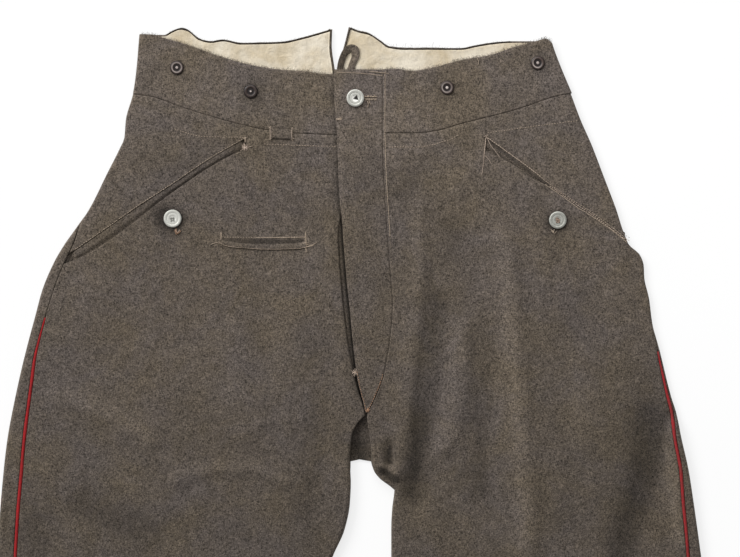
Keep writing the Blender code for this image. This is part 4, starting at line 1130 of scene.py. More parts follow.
makeBoth("back", "back_{}_cloth", backPiece)
makeBoth("front", "front_{}_cloth", frontPiece)
makeBoth("band", "waistband_{}_cloth", bandPiece)
makeBoth("hip", "hip_{}_cloth", hipPiece)
makeBoth("welt", "pocket_welt_{}_cloth", weltPiece)
makeBoth("lining", "lining_{}_cloth", liningPiece)
pieces["fly"] = flyPiece()
pieces["underlap"] = underlapPiece()
print("cloth made")


# Small pieces

watchLoop = {"left": -75.5, "right": -54.5, "top": 95.4, "bottom": 105.8, "slope": 0.06}
hanger = {
    "halfWidth": 3.05, "halfHeight": 0.5, "pale": 0.9, "arch": 0.7,
    "path": [
        (-9.4, 42.5), (-8.8, 36), (-6.8, 29), (-4.0, 23.6), (-0.6, 20.8), (3.0, 20.6),
        (5.2, 23.4), (4.8, 29), (2.2, 35.5), (0.2, 42.5),
    ],
}


def watchPocketPiece():
    xs = np.linspace(watchPocket["left"], watchPocket["right"], 60)
    lip = smoothLine(watchPocket["lip"])(xs)
    return raisedPiece("watch_pocket_welt_cloth", xs, lip - 3.7, lip + 0.4, 0.25)


def watchLoopPiece():
    xs = np.linspace(watchLoop["left"], watchLoop["right"], 24)
    tilt = (xs + 75) * watchLoop["slope"]
    # Both long edges darkened with painted shade
    return raisedPiece("watch_loop_cloth", xs, watchLoop["top"] + tilt, watchLoop["bottom"] + tilt, 0.3,
                       edgeTones=(-0.55, -0.30))


def hangerPiece():
    line = smoothPath(hanger["path"], 0.8)
    share = np.linspace(0, 1, len(line))
    base = lowLayer + cloth["lining"] + cloth["layerGap"] + cloth["trim"] / 2
    z = base + hanger["arch"] * np.sin(share * math.pi)
    width = hanger["halfWidth"] * (1 + 0.30 * np.exp(-((share - 0.62) / 0.14) ** 2))
    # Its right limb painted paler as a lit face (painted highlight), the rest a little darker
    tone = hanger["pale"] * softStep(0.45, 0.6, share) - 0.12
    tone = tone + 0.1 * softNoise(share * 40, share * 0, 5.0, 3)
    path = np.column_stack([line, z])
    return sweep("hanger_loop_cloth", path, width, hanger["halfHeight"], woolShaded, 16, tone)


def pipingPiece(name, leg):
    side, start = leg["side"], leg["pipingStart"]
    edge, seamIn = sideLines(leg)
    downs = np.arange(start, cloth["length"] + 0.1, piping["pitch"])
    outer, curl = sideEnd(edge(downs), seamIn(downs), side)
    inset, drop = curled(np.zeros(len(downs)), curl)
    x = outer - side * inset
    top = heightAt(np.where(curl > 0, edge(downs) - side * foldEdge, x), downs)
    z = top - (top - cloth["backMid"]) / 2 * drop
    x = x + 0.1 * softNoise(x * 0, downs, 26, 31) + leg["wobble"] * softNoise(x * 0, downs, 9, 33)
    radius = pipingRadius(downs, start)
    uneven = 1 - 0.14 * np.clip(0.5 + softNoise(x * 0, downs, 13, 35), 0, 1)
    return sweep(name, np.column_stack([x, downs, z]), radius * uneven, radius, leg["red"], piping["sides"])


# A turned disc under a profile of (share of the radius, height), with a tint at each share and angle
def turned(name, x, down, base, radius, profile, tintAt, material, sides=72, rings=30):
    top = smoothLine(profile)
    angle = np.linspace(0, 2 * math.pi, sides, endpoint=False)
    shares = np.concatenate([[0.8, 0.93], np.linspace(1, 1 / rings, rings)])  # the first two lie underneath
    heights = np.concatenate([[0.0, 0.2], top(shares[2:])])
    share, turn = shares[:, None] + 0 * angle[None, :], angle[None, :] + 0 * shares[:, None]
    rows = np.stack([x + radius * share * np.cos(turn), down + radius * share * np.sin(turn),
                     base + heights[:, None] + 0 * share], axis=-1)
    points = np.concatenate([[(x, down, base)], rows.reshape(-1, 3), [(x, down, base + float(top(0)))]])
    faces = []
    last = 1 + (len(shares) - 1) * sides
    for k in range(sides):
        after = (k + 1) % sides
        faces.append([0, 1 + k, 1 + after])
        for low in range(1, last, sides):
            faces.append([low + k, low + sides + k, low + sides + after, low + after])
        faces.append([last + k, len(points) - 1, last + after])
    piece = faceOutward(meshPiece(name, toWorld(*points.T), faces, material))
    tint = tintAt(share, turn)
    tint[:2] = 0
    setLayer(piece, "tint", np.concatenate([[0.0], tint.ravel(), [float(tint[-1].mean())]]))
    return piece


# name, x, down, radius, look
buttonRows = [
    ("brace_button_1", -164.0, 39.0, 6.6, "ringed"), ("brace_button_2", -94.0, 61.5, 6.6, "darkened"),
    ("brace_button_3", 92.0, 58.0, 6.6, "worn"), ("brace_button_4", 178.0, 34.5, 6.6, "halfWorn"),
    ("fly_button", 5.1, 68.0, 8.3, "fly"), ("pocket_button_right", -168.0, 182.0, 8.5, "white"),
    ("pocket_button_left", 197.0, 183.5, 8.3, "dull"),
]
hornProfile = [
    (0, 1.3), (0.13, 1.25), (0.24, 0.9), (0.48, 0.9), (0.6, 1.4), (0.7, 1.6), (0.82, 1.45), (0.93, 1.1),
    (1.0, 0.6),
]
zincProfile = [
    (0, 0.95), (0.32, 1.0), (0.38, 1.3), (0.58, 1.35), (0.64, 1.2), (0.70, 1.45), (0.84, 1.65), (0.93, 1.5),
    (1.0, 0.8),
]
# How pale a horn button's rim is painted, mostly on the side towards the light (painted highlight): rim,
# how evenly, on which side, centre, its radius, edge (painted shade)
hornLooks = {
    "ringed": (0.42, 0.7, 140, 0.60, 0.16, -0.75), "darkened": (-0.45, 1.0, 0, 0.75, 0.10, -1.0),
    "worn": (0.45, 0.3, 150, 0.85, 0.17, -0.6), "halfWorn": (0.60, 0.0, 130, 0.55, 0.18, -0.6),
}
# A zinc button's face, its rim, paler or darker on one side as painted light, its rings, and the depth of
# its ring's colour
zincLooks = {"fly": (0.28, 0.25, -0.42), "white": (0.42, -0.2, -0.22), "dull": (-0.12, 0.35, -0.30)}


def hornTint(look):
    rim, even, side, centre, boss, edge = hornLooks[look]

    def tintAt(share, angle):
        # Painted highlight on the rim towards the light, painted shade in the groove and at the outer edge
        litSide = even + (1 - even) * (0.5 + 0.5 * np.cos(angle - math.radians(side))) ** 2
        ring = rim * np.exp(-((share - 0.69) / 0.10) ** 2) * litSide
        groove = -1.0 * softStep(0.60, 0.50, share) * softStep(boss, boss + 0.1, share)
        middle = centre * softStep(boss + 0.08, boss, share)
        return ring + groove + middle + edge * softStep(0.78, 0.90, share)

    return tintAt


def zincTint(look):
    face, rim, ring = zincLooks[look]

    def tintAt(share, angle):
        x, y = share * np.cos(angle), share * np.sin(angle)
        # The rim painted lighter or darker on one side: painted light
        total = face + rim * softStep(0.86, 0.92, share) * (0.5 - 0.5 * np.sin(angle))
        inner, outer = np.exp(-((share - 0.64) / 0.035) ** 2), np.exp(-((share - 0.86) / 0.03) ** 2)
        total = total + ring * (inner + outer)
        if look == "fly":                       # a three-cornered hole in painted shade, with a painted highlight on its lower left
            total = total + 0.7 * softStep(0.46, 0.38, share) * softStep(-0.05, 0.1, y - x)
            corners = [(x - 0.09) * math.cos(a) + (y + 0.02) * math.sin(a) for a in (-0.25, 1.85, 3.95)]
            hole = softStep(0.21, 0.16, np.maximum.reduce(corners))
            return total * (1 - hole) - hole
        # Holes darkened with painted shade
        places = ((-0.15, 0.02), (0.10, 0.0), (-0.10, 0.28), (0.15, 0.26))
        holes = [np.hypot(x - a, y - b) for a, b in places]
        inHole = softStep(0.165, 0.10, np.minimum.reduce(holes))
        return total * (1 - inHole) - 0.6 * inHole

    return tintAt


onFlyLift = 2.5             # the fly strip's own height over the front


def buttonPiece(name, x, down, radius, look):
    lift = onFlyLift if look == "fly" else 0
    base = float(heightAt(x, down) + cloth["wool"] / 2 + cloth["layerGap"] + lift)
    if look in hornLooks:
        return turned(name + "_horn", x, down, base, radius, hornProfile, hornTint(look), horn)
    return turned(name + "_zinc", x, down, base, radius, zincProfile, zincTint(look), zinc)


pieces["watchWelt"] = watchPocketPiece()
pieces["watchLoop"] = watchLoopPiece()
pieces["hanger"] = hangerPiece()
makeBoth("piping", "piping_{}_cord", pipingPiece)
buttonPieces = {row[0]: buttonPiece(*row) for row in buttonRows}
print("small pieces made")


# Sewing, tacks and frayed edges

# Upper side of the cloth that shows
def topAt(x, down):
    x, down = np.broadcast_arrays(np.asarray(x, float), np.asarray(down, float))
    onFly = (down > 40.7) & (down < 366) & (x > flyLeft(down)) & (x < flySewn(down))
    return np.where(onFly, flyHeight(x, down), heightAt(x, down)) + cloth["wool"] / 2


# A node tree with a mesh in and out, and named inputs
def treeWith(name, sockets):
    tree = bpy.data.node_groups.new(name, "GeometryNodeTree")
    tree.is_modifier = True
    tree.interface.new_socket("Geometry", in_out="INPUT", socket_type="NodeSocketGeometry")
    for label, kind in sockets:
        tree.interface.new_socket(label, in_out="INPUT", socket_type="NodeSocket" + kind)
    tree.interface.new_socket("Geometry", in_out="OUTPUT", socket_type="NodeSocketGeometry")
    return tree, tree.nodes.new("NodeGroupInput").outputs, tree.nodes.new("NodeGroupOutput").inputs


def randomIn(tree, kind, low, high, seed):
    first, out = {"FLOAT": (2, 1), "FLOAT_VECTOR": (0, 0)}[kind]
    made = addNode(tree, "FunctionNodeRandomValue", {first: low, first + 1: high, 8: seed}, data_type=kind)
    return made.outputs[out]


# Points along the given lines, at the given pitch
def alongLines(tree, given):
    line = addNode(tree, "GeometryNodeMeshToCurve", {"Mesh": given["Geometry"]}).outputs[0]
    return addNode(tree, "GeometryNodeResampleCurve", {"Curve": line, "Length": given["Pitch"]},
                   mode="LENGTH").outputs[0]


# Puts the instance on each point, as plain shaded mesh
def endTree(tree, points, instance, turn, scale, given, result):
    placed = addNode(tree, "GeometryNodeInstanceOnPoints", {
        "Points": points, "Instance": instance, "Rotation": turn, "Scale": scale}).outputs[0]
    real = addNode(tree, "GeometryNodeRealizeInstances", {"Geometry": placed}).outputs[0]
    soft = addNode(tree, "GeometryNodeSetShadeSmooth", {"Geometry": real}).outputs[0]
    done = addNode(tree, "GeometryNodeSetMaterial", {"Geometry": soft, "Material": given["Material"]})
    tree.links.new(done.outputs[0], result["Geometry"])
    return tree


def stitchTree():
    tree, given, result = treeWith("stitch_row", [
        ("Pitch", "Float"), ("Length", "Float"), ("Radius", "Float"), ("Unevenness", "Float"),
        ("Seed", "Int"), ("Material", "Material")])
    tangent = addNode(tree, "GeometryNodeInputTangent").outputs[0]
    turn = addNode(tree, "FunctionNodeAlignRotationToVector", {"Vector": tangent}, axis="X").outputs[0]
    shake = randomIn(tree, "FLOAT_VECTOR", (-1, -1, -0.3), (1, 1, 0.3), given["Seed"])
    shake = addNode(tree, "ShaderNodeVectorMath", {0: shake, "Scale": given["Unevenness"]},
                    operation="SCALE").outputs[0]
    points = addNode(tree, "GeometryNodeSetPosition", {
        "Geometry": alongLines(tree, given), "Offset": shake}).outputs[0]
    bead = addNode(tree, "GeometryNodeMeshUVSphere", {"Segments": 8, "Rings": 5, "Radius": 1.0}).outputs[0]
    vary = randomIn(tree, "FLOAT", 0.36, 0.56, given["Seed"])
    long = math2(tree, "MULTIPLY", given["Length"], vary)
    radius = given["Radius"]
    scale = addNode(tree, "ShaderNodeCombineXYZ", {0: long, 1: radius, 2: radius}).outputs[0]
    return endTree(tree, points, bead, turn, scale, given, result)


def frayTree():
    tree, given, result = treeWith("fray_edge", [
        ("Pitch", "Float"), ("Length", "Float"), ("Radius", "Float"), ("Spread", "Float"),
        ("Facing", "Float"), ("Seed", "Int"), ("Material", "Material")])
    # Shifted by up to so many metres each way
    shake = randomIn(tree, "FLOAT_VECTOR", (-4e-4, -4e-4, -3e-4), (4e-4, 4e-4, 3e-4), given["Seed"])
    points = addNode(tree, "GeometryNodeSetPosition", {
        "Geometry": alongLines(tree, given), "Offset": shake}).outputs[0]
    hair = addNode(tree, "GeometryNodeCurveQuadraticBezier", {
        "Resolution": 5, "Start": (0, -0.15, 0), "Middle": (-0.25, 0.6, 0.25), "End": (0.3, 1.0, -0.1),
    }).outputs[0]
    thin = math2(tree, "DIVIDE", given["Radius"], given["Length"])
    ring = addNode(tree, "GeometryNodeCurvePrimitiveCircle", {"Resolution": 3, "Radius": thin}).outputs[0]
    fibre = addNode(tree, "GeometryNodeCurveToMesh", {"Curve": hair, "Profile Curve": ring}).outputs[0]
    # Turned between these angles, then towards where the fibres face
    less = math2(tree, "MULTIPLY", given["Spread"], -1.0)
    lowTurn = addNode(tree, "ShaderNodeCombineXYZ", {0: -0.35, 1: -3.0, 2: less}).outputs[0]
    highTurn = addNode(tree, "ShaderNodeCombineXYZ", {0: 0.5, 1: 3.0, 2: given["Spread"]}).outputs[0]
    euler = randomIn(tree, "FLOAT_VECTOR", lowTurn, highTurn, given["Seed"])
    facing = addNode(tree, "ShaderNodeCombineXYZ", {2: given["Facing"]}).outputs[0]
    euler = addNode(tree, "ShaderNodeVectorMath", {0: euler, 1: facing}, operation="ADD").outputs[0]
    turn = addNode(tree, "FunctionNodeEulerToRotation", {0: euler}).outputs[0]
    size = math2(tree, "MULTIPLY", given["Length"], randomIn(tree, "FLOAT", 0.35, 1.25, given["Seed"]))
    return endTree(tree, points, fibre, turn, size, given, result)


# Runs a node tree on lines of points in metres, and keeps the plain mesh it makes
def grown(name, lines, tree, values):
    points, edges = [], []
    for line in lines:
        first = len(points)
        points.extend(tuple(p) for p in line)
        edges.extend((first + k, first + k + 1) for k in range(len(line) - 1))
    mesh = bpy.data.meshes.new(name)
    mesh.from_pydata(points, edges, [])
    piece = linkObject(bpy.data.objects.new(name, mesh))
    change = piece.modifiers.new("grow", "NODES")
    change.node_group = tree
    for item in tree.interface.items_tree:
        if item.in_out == "INPUT" and item.name in values:
            change[item.identifier] = values[item.name]
    bpy.context.view_layer.update()
    graph = bpy.context.evaluated_depsgraph_get()
    made = bpy.data.meshes.new_from_object(piece.evaluated_get(graph))
    piece.modifiers.clear()
    piece.data = made
    return piece


def onCloth(points, lift=0.12, pitch=2.0):
    line = smoothPath(points, pitch)
    return toWorld(line[:, 0], line[:, 1], topAt(line[:, 0], line[:, 1]) + lift)


# The same line moved sideways by offset, to its right when walking along it
def beside(points, offset):
    line = spread(points, 6.0)
    run = np.gradient(line, axis=0)
    run /= np.linalg.norm(run, axis=1)[:, None]
    return line + np.stack([-run[:, 1], run[:, 0]], axis=1) * offset


# Threads as one mesh of thin tubes along lines of (x, down, z)
def tubes(name, lines, radius, material, sides=6):
    points, faces = [], []
    for line in lines:
        line = np.array(line, float)
        run = np.gradient(line, axis=0)
        run /= np.maximum(np.linalg.norm(run, axis=1), 1e-9)[:, None]
        off = np.cross(run, (0.1, 0.2, 1.0))
        off /= np.linalg.norm(off, axis=1)[:, None]
        up = np.cross(run, off)
        base = len(points)
        for p, o, u, share in zip(line, off, up, np.linspace(0, 1, len(line))):
            r = radius * (0.55 + 0.45 * min(1.0, 8 * min(share, 1 - share)))    # thinner at both ends
            for k in range(sides):
                angle = 2 * math.pi * k / sides
                points.append(p + r * (o * math.cos(angle) + u * math.sin(angle)))
        for ring in range(len(line) - 1):
            for k in range(sides):
                a, b = base + ring * sides + k, base + ring * sides + (k + 1) % sides
                faces.append([a, a + sides, b + sides, b])
        last = base + (len(line) - 1) * sides
        faces.append([base + k for k in range(sides)])
        faces.append([last + k for k in range(sides - 1, -1, -1)])
    return faceOutward(meshPiece(name, toWorld(*np.array(points).T), faces, material))


# A thread that lies on the cloth, arched by so much in its middle
def threadLine(points, lift=0.25, arch=0.0, pitch=0.7):
    line = smoothPath(points, pitch)
    share = np.linspace(0, 1, len(line))
    z = topAt(line[:, 0], line[:, 1]) + lift + arch * np.sin(share * math.pi)
    return np.column_stack([line, z])


# Rows of threads: lift, arch, then (x, down) along each
def threads(*rows):
    return [threadLine(points, lift, arch) for lift, arch, *points in rows]


# A bar of thread from start to end with small wraps across it
def barTack(start, end, wraps, width, chance):
    a, b = np.array(start, float), np.array(end, float)
    run = (b - a) / np.linalg.norm(b - a)
    off = np.array([-run[1], run[0]])
    lines = [threadLine([a + off * s, (a + b) / 2 + off * s * 1.3, b + off * s], 0.3, 0.25)
             for s in (-0.35, 0.35)]
    for share in wraps:
        middle = a + (b - a) * share
        tilt = run * chance.uniform(-0.8, 0.8)
        half = off * width / 2 * chance.uniform(0.7, 1.2)
        lines.append(threadLine([middle - half - tilt, middle, middle + half + tilt], 0.55, 0.2))
    return lines


# A worn tack: short threads crossing in all directions
def knotTack(centre, reach, count, chance):
    lines = []
    for k in range(count):
        angle = math.pi * (k + chance.uniform(-0.3, 0.3)) / count
        half = np.array([math.cos(angle), math.sin(angle)]) * reach * chance.uniform(0.6, 1.1)
        bend = np.array([chance.uniform(-0.6, 0.6), chance.uniform(-0.6, 0.6)])
        c = np.array(centre, float)
        lines.append(threadLine([c - half, c + bend, c + half], 0.3, 0.3))
    return lines


# mm: pitch, length, radius, unevenness
sewing = {
    "fine": (2.5, 2.2, 0.30, 0.16), "bright": (2.4, 2.3, 0.42, 0.18), "line": (2.3, 3.2, 0.32, 0.14),
    "worn": (2.8, 2.0, 0.26, 0.34), "bead": (2.2, 1.8, 0.36, 0.24),
}
hipRowRight = [(x, down - 1.1) for x, down in hipEdgeRight[1:]][::-1]
hipRowLeft = [(x, down - 1.1) for x, down in hipEdgeLeft]
hipTopLeft = [(131, 105.9), (143, 114.6), (155, 123.2), (167, 131.8), (178, 140.4)]
gapRowLeft = [(190, 151.6), (200, 158.4), (215, 168.8), (230, 178.6), (250, 193.6), (262, 202.8)]
weltRowLeft = [(131, 113), (143, 120.5), (163, 135), (181.4, 148.5), (190, 154)]
mouthRowLeft = [(186, 150.5), (200, 160.0), (215, 171.0), (230, 180.3), (250, 194.4), (262, 204.2)]
flySeamDowns = (43.7, 75, 101, 130, 162, 198, 230, 262, 285, 302, 319, 334, 346, 357)
flySeamRow = [(float(flySewn(d)) + float(np.interp(d, (190, 250), (2.5, 1.5))), d) for d in flySeamDowns]
flyFreeRow = [(float(flyLeft(d)) + 3.4, d) for d in (46, 70, 100, 140, 180, 220, 262, 300, 322)]
tipLeft = [(float(flyLeft(d)) + 0.8, d) for d in (328, 338, 348, 357, 364)]
tipRight = [(float(flySewn(d)) - 0.9, d) for d in (330, 338, 346, 354, 360, 365)]
# thread, kind, seed, lift over the cloth, lines
stitchRows = {
    "stitches_fine_beige": (threadBeige, "fine", 3, 0.14, [
        hipRowRight, hipRowLeft,
        [(-80.8, 111.4), (-47.5, 112.7), (-14.2, 113.7)],
        [(38, 114.2), (49.4, 114), (68.4, 114), (91.2, 108.3), (101.6, 103.5)],
        [(131.1, 100.7), (171, 95), (214.7, 89.3)],
        [(-121, 199.6), (-81.7, 199.9), (-42.5, 199.4)],
        [(-165.3, 97.3), (-153.9, 101), (-139.2, 104.1), (-98.8, 105.1)],
    ]),
    "stitches_bright_pale": (threadPale, "bright", 2, 0.16, [hipTopLeft, gapRowLeft]),
    "stitches_line_beige": (threadBeige, "line", 4, 0.14, [
        flySeamRow[:6], mouthRowLeft, [(-11.5, 43.6), (2, 44.0), (17, 45.0), (30, 46.4)],
        [(-88, 200), (-60, 200), (-43.5, 199.6)],
    ]),
    "stitches_raised_beige": (threadBeige, "line", 6, 1.25, [
        [(-123.5, 204.6), (-117, 207.9), (-108, 209.2), (-92, 210.5), (-76, 211.1), (-52, 210.5),
         (-43, 209.3), (-36, 207.8)],
    ]),
    "stitches_welt_beige": (threadWorn, "fine", 8, -0.35, [beside(hipRowRight, 3.2), weltRowLeft]),
    "stitches_worn_beige": (threadWorn, "worn", 5, 0.14, [
        flySeamRow[5:], flyFreeRow, [(x + 0.4, down - 2.6) for x, down in hipRowLeft[1:]],
        [(120, 31.6), (133, 29.4), (155, 22.6), (177, 16.6), (188, 15)],
        [(-74, 97), (-65, 97.5), (-56, 98)], [(-74, 104.6), (-65, 105.2), (-56, 105.8)],
        [(-190, 12), (-160, 18.5), (-124, 31.5), (-86, 41.5), (-42, 46), (-23, 48.6)],
        [(8.5, 324.9), (22, 315.2), (36.1, 304.5)],
    ]),
    "stitches_bead_tan": (threadOrange, "bead", 7, 0.14, [tipLeft, tipRight]),
}
stitchNodes, frayNodes = stitchTree(), frayTree()
details = {}
for name, (thread, kind, seed, lift, lines) in stitchRows.items():
    sizes = zip(("Pitch", "Length", "Radius", "Unevenness"), sewing[kind])
    values = {**{key: size * mm for key, size in sizes}, "Seed": seed, "Material": thread}
    details[name] = grown(name, [onCloth(line, lift) for line in lines], stitchNodes, values)

chance = np.random.RandomState(11)
tackLines = {
    "tacks_beige": (threadBeige, 0.27, [
        *barTack((-122.2, 194.6), (-121.8, 207.0), (0.85,), 5, chance),
        *barTack((-42.2, 194.4), (-41.4, 214.0), (0.55, 0.62), 6, chance),
        *barTack((-75.5, 94.2), (-75.3, 108.0), (0.15, 0.9), 3, chance),
        *barTack((-54.8, 95.6), (-54.4, 108.6), (0.1, 0.85), 3, chance),
        *barTack((-99.2, 104.6), (-99.2, 110.0), (), 2, chance),
        *barTack((-13.4, 88.4), (-7.0, 87.2), (0.2, 0.4, 0.6, 0.8), 2.4, chance),
        *threads(
            (0.3, 0.3, (-31, 204.5), (-36, 207.2), (-41.4, 208.6)),
            (0.3, 0.3, (-132, 206.5), (-127, 205.0), (-121.8, 206.0)),
            (0.3, 0.3, (18, 42.6), (26, 43.4), (37, 44.6)),
            (0.3, 0.6, (120.4, 29.5), (121.8, 33), (121.2, 36.8)),
            (0.4, 0.8, (192, 193), (193.6, 196), (196, 194.4)),
            (0.4, 0.8, (190.4, 192), (192.5, 195.4), (193.8, 192)),
        ),
    ]),
    "tacks_pale": (threadPale, 0.24, [
        *knotTack((-99.6, 114.6), 3.8, 8, chance),
        *threads(
            (0.3, 0.3, (-104, 118), (-100, 115.5), (-93, 113.6)),
            (0.3, 0.3, (129.2, 104.2), (128.3, 112), (127.2, 121), (126.6, 129.4)),
            (0.4, 0.2, (128.9, 104.4), (127.9, 113), (127.0, 122), (126.9, 127.5)),
            (0.2, 0.1, (126.6, 129), (125.8, 135), (124.9, 141)),
            (1.6, 0.3, (-13.0, 87.4), (-10.4, 88.8), (-7.4, 88.2)),
            (1.5, 0.2, (-75.0, 95.0), (-74.8, 101), (-75.0, 107.4)),
            (1.5, 0.2, (-55.0, 96.4), (-55.2, 102), (-54.9, 108)),
            (0.25, 0.2, (129.6, 104.8), (133.4, 112.6), (138.4, 119), (142, 124)),
            (0.2, 0.2, (127.4, 122), (131.5, 126), (134.5, 131)),
            (0.4, 0.3, (126.8, 104.6), (129.4, 103.4), (132, 104.4)),
        ),
        *knotTack((4.6, 327.8), 4.0, 6, chance),
        *threads((0.4, 1.0, (-165.4, 192.4), (-163.6, 195.4), (-161, 192.4))),
    ]),
    "tacks_tan": (threadOrange, 0.30, [
        *knotTack((17.0, 363.6), 2.2, 5, chance),
        *threads(
            (0.4, 1.0, (-165.0, 191.4), (-163.2, 196.0), (-160, 193.4)),
            (0.4, 1.0, (-166.0, 192.4), (-164.4, 197.0), (-162.4, 194.0)),
        ),
    ]),
}
# The fly's buttonhole
hole = {"left": 13.4, "right": 25.2, "down": 67.7, "half": 0.85, "stitch": 1.7, "count": 13, "middle": 19}
holeLines = []
for k in range(hole["count"]):
    x = hole["left"] + (hole["right"] - hole["left"]) * k / (hole["count"] - 1)
    for side in (-1, 1):
        near = hole["down"] + side * hole["half"]
        lean, reach = chance.uniform(-0.8, 0.8), hole["stitch"] * chance.uniform(0.5, 1.25)
        ends = [(x, near - side * 0.4), (x + lean, near + side * reach)]
        holeLines.append(threadLine(ends, 0.28, 0.25, 0.5))
for side in (-1, 1):
    near = hole["down"] + side * hole["half"]
    path = [(hole["left"], near), (hole["middle"], near + side * 0.3), (hole["right"], near)]
    holeLines.append(threadLine(path, 0.4, 0.1))
holeLines += threads(
    (0.3, 0.5, (16.2, 70.4), (17.4, 73.5), (16.8, 77.4)),
    (0.3, 0.5, (17.8, 70.6), (18.9, 72.6), (20.4, 74.6)),
)
tackLines["buttonhole_thread"] = (threadBeige, 0.28, holeLines)
# Threads that show in the left pocket button's holes: both ends, from its centre
pocketButton = {"x": 197.0, "down": 183.9, "lift": 1.75}
faceEnds = (
    ((-2.3, -2.0), (0.6, -2.4)), ((-1.6, -1.0), (2.2, -0.4)), ((-1.8, 1.6), (1.6, 2.2)),
    ((-1.6, -1.8), (-1.2, 2.0)), ((1.4, -1.6), (1.0, 2.4)), ((-0.2, -2.2), (0.2, 2.0)),
)
faceThread = []
for ends in faceEnds:
    ends = [(pocketButton["x"] + x, pocketButton["down"] + down) for x, down in ends]
    faceThread.append(threadLine(ends, pocketButton["lift"], 0.25, 0.4))
tackLines["button_thread"] = (threadTack, 0.36, faceThread)
for name, (thread, radius, lines) in tackLines.items():
    details[name] = tubes(name, lines, radius, thread)
slitXs = (hole["left"] + 0.4, hole["middle"], hole["right"] - 0.4)
slitLine = threadLine([(x, hole["down"]) for x in slitXs], 0.02)
# The buttonhole's slit as a dark band: painted shade
details["buttonhole_slit"] = sweep("buttonhole_slit", slitLine, 0.42, 0.14, slitShade, 8)

# mm: pitch, length, radius; then how far the fibres turn each way, and where they face
fray = {
    "band": (0.38, 2.3, 0.095, 1.0, 0.0), "pale": (2.6, 3.0, 0.10, 1.2, 0.0),
    "back": (0.9, 1.5, 0.06, 1.1, 0.0), "long": (2.1, 5.2, 0.085, 1.2, -0.4),
    "tuft": (0.35, 3.6, 0.08, 1.2, 0.2),
}


# Points in metres along a top edge, that far inside it
def edgeLine(rows, start, end, z, inside=0.5):
    line, xs = smoothLine(rows), np.arange(start, end, 1.0)
    return toWorld(xs, line(xs) + inside, z(xs, line(xs)) if callable(z) else np.full(len(xs), z))


flyTop = np.linspace(-13, 32, 40), np.full(40, 41.2)
frayLines = {
    "frayed_band_edges": (wool, "band", 13, [
        edgeLine(bandTopRight, -198, -8, heightAt), edgeLine(bandTopLeft, 34, 191, heightAt),
        toWorld(*flyTop, flyHeight(*flyTop))]),
    "frayed_back_edges": (woolShaded, "back", 17, [
        edgeLine(backTopRight, -176, -19, 2.6), edgeLine(backTopLeft, 1, 150, 2.6)]),
    "frayed_long_threads": (woolShaded, "long", 19, [
        edgeLine(backTopLeft, 38, 92, 2.6), edgeLine(bandTopRight, -60, -20, heightAt),
        edgeLine(bandTopLeft, 66, 120, heightAt)]),
    "frayed_corner_tuft": (wool, "tuft", 23, [
        edgeLine(bandTopLeft, 182, 192, heightAt)]),
    "frayed_pale_fibres": (threadPale, "pale", 29, [
        edgeLine(bandTopRight, -176, -8, heightAt), edgeLine(bandTopLeft, 34, 150, heightAt)]),
}
for name, (fibre, kind, seed, lines) in frayLines.items():
    pitch, length, radius, turn, facing = fray[kind]
    details[name] = grown(name, lines, frayNodes, {
        "Pitch": pitch * mm, "Length": length * mm, "Radius": radius * mm, "Spread": turn, "Facing": facing,
        "Seed": seed, "Material": fibre})

hem = {"thin": 0.5, "thick": 0.85, "halfHeight": 0.7, "inside": 0.45}


# The dark edge of the back, turned over the lining: thin along the top, thicker down the notch
def turnedEdge(name, path, thickFrom, thickTo):
    line = smoothPath(path, 1.2)
    x, down = line.T
    z = np.full(len(line), cloth["wool"] + hem["halfHeight"] + 0.05) + 0.12 * softNoise(x, down, 8, 3)
    inNotch = softStep(2.5, 6.0, down) * (np.abs(x + 9) < 11)
    along = softStep(thickFrom, thickFrom + 9, x) * softStep(thickTo, thickTo - 12, x)
    width = hem["thin"] + (hem["thick"] - hem["thin"]) * np.maximum(inNotch, along)
    width = width * (1 + 0.22 * softNoise(x, down, 4, 27))
    return sweep(name, np.column_stack([line, z]), width, hem["halfHeight"], woolShaded, 12)


# A painted shadow: a dark arc at the buttonhole's edge that shows past a button
def buttonholeShadow(x, down, radius, first, last):
    angle = np.radians(np.linspace(first, last, 26))
    line = np.column_stack([x + radius * np.cos(angle), down - radius * np.sin(angle)])
    z = heightAt(line[:, 0], line[:, 1]) + cloth["wool"] / 2 + 0.3
    width = 0.75 * np.sin(np.linspace(0.12, math.pi - 0.12, 26)) ** 0.6
    return np.column_stack([line, z]), width


# name, x, down, radius, first and last angle: a painted shadow arc at the buttonhole's edge beside a button
shadowArcRows = [
    ("buttonhole_lip_right_1", -168.0, 182.0, 8.7, 95, 168),
    ("buttonhole_lip_right_2", -168.0, 182.0, 8.7, -38, 42),
    ("buttonhole_shadow_left", 197.0, 183.5, 8.5, 150, 262),
]
shadowArcTone = -0.7
topRight, topLeft = smoothLine(backTopRight), smoothLine(backTopLeft)
rightAlong = (-174, -169, -161, -154, -143, -132, -120, -104, -84, -64, -49, -34, -22)
leftAlong = (3, 8, 18, 29, 36, 51, 80, 106, 119, 134, 152)
rightEdge = [(x, float(topRight(x)) + hem["inside"]) for x in rightAlong]
leftEdge = [(x, float(topLeft(x)) + hem["inside"]) for x in leftAlong]
rightNotch = [(-18.4, 3.4), (-18.2, 20), (-16.2, 35), (-14.8, 44)]
leftNotch = [(-11.6, 44), (-10.4, 37), (-7.6, 28), (-4.0, 16), (-0.4, 2.0)]
details["turned_edge_right"] = turnedEdge("turned_edge_right", [*rightEdge, *rightNotch], 900, 999)
details["turned_edge_left"] = turnedEdge("turned_edge_left", [*leftNotch, *leftEdge], 34, 92)
for name, x, down, radius, first, last in shadowArcRows:
    line, width = buttonholeShadow(x, down, radius, first, last)
    details[name] = sweep(name, line, width, 0.45, woolShaded, 12, np.full(len(line), shadowArcTone))
print("sewing made", {name: len(piece.data.polygons) for name, piece in details.items()})

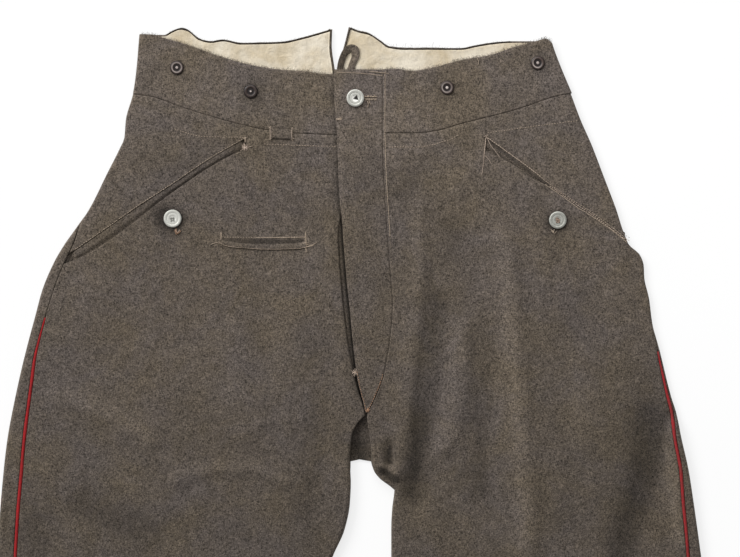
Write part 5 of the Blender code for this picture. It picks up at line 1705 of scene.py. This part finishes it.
# What each piece stands for: CAD node, slot, what it lies on
roles = {
    "fly": ("fly_strip", "wool", ["fly_underlap_cloth", "front_right_cloth"]),
    "underlap": ("fly_underlap", "wool_dark", ["back_left_cloth"]),
    "watchWelt": ("watch_pocket_welt", "wool", ["front_right_cloth"]),
    "watchLoop": ("watch_loop", "wool", ["front_right_cloth"]),
    "hanger": ("hanger_loop", "wool_dark", ["lining_left_cloth"]),
}
for kind, stem, slotName, under in (
    ("back", "back_{}", "wool", ["table_top"]),
    ("front", "front_{}", "wool", ["back_{}_cloth"]),
    ("band", "waistband_{}", "wool", ["back_{}_cloth", "lining_{}_cloth"]),
    ("hip", "hip_{}", "wool", ["back_{}_cloth"]),
    ("welt", "pocket_welt_{}", "wool_dark", ["back_{}_cloth"]),
    ("lining", "lining_{}", "lining_cotton", ["back_{}_cloth"]),
    ("piping", "piping_{}", "piping_red", []),
):
    for name in legs:
        roles[kind + name.title()] = (stem.format(name), slotName, [rest.format(name) for rest in under])

# Table, light and camera
table = meshPiece("table_top", [(-3, -3, 0), (3, -3, 0), (3, 3, 0), (-3, 3, 0)], [[0, 1, 2, 3]],
                  tableMaterial("table_white_paint"), smooth=False)


def lamp(name, kind, power, facing, **settings):
    light = bpy.data.lights.new(name, kind)
    light.energy = power
    for key, value in settings.items():
        setattr(light, key, value)
    made = linkObject(bpy.data.objects.new(name, light))
    made.rotation_euler = Vector(facing).to_track_quat("-Z", "Y").to_euler()
    return made


keyFacing = Vector(studio["keyAim"]) - Vector(studio["keyPlace"])
softbox = lamp("key_softbox", "AREA", studio["keyPower"], keyFacing, shape="SQUARE", size=studio["keySize"])
softbox.location = studio["keyPlace"]
lamp("window_light", "SUN", studio["sunPower"], -Vector(studio["sunFrom"]),
     angle=math.radians(studio["sunAngle"]))
world = bpy.data.worlds.new("studio_white")
world.use_nodes = True
world.node_tree.nodes["Background"].inputs["Color"].default_value = (1, 1, 1, 1)
world.node_tree.nodes["Background"].inputs["Strength"].default_value = studio["sky"]
bpy.context.scene.world = world
bpy.context.scene.view_settings.view_transform = "Standard"

camera = bpy.data.cameras.new("camera")
camera.sensor_width = 36
view = {"height": 2.6, "centre": (0.018, 0.3071), "width": 0.703}
camera.lens = camera.sensor_width * view["height"] / view["width"]
cameraObject = linkObject(bpy.data.objects.new("camera", camera))
cameraObject.location = (*view["centre"], view["height"])
bpy.context.scene.camera = cameraObject

for key, piece in pieces.items():
    node, slotName, under = roles[key]
    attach(piece, "root")
    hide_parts(node)
for name, piece in details.items():
    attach(piece, "root")
for node, *_, look in buttonRows:
    piece = buttonPieces[node]
    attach(piece, "root")
    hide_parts(node)
carried = {"frontRight": ["watchWelt", "watchLoop"], "liningLeft": ["hanger"]}
onAnother = [name for names in carried.values() for name in names]
for key, piece in pieces.items():
    if piece.name in cuts and key not in onAnother:
        width, length, area = cuts[piece.name]
        print(piece.name, "cut", width, length, area)
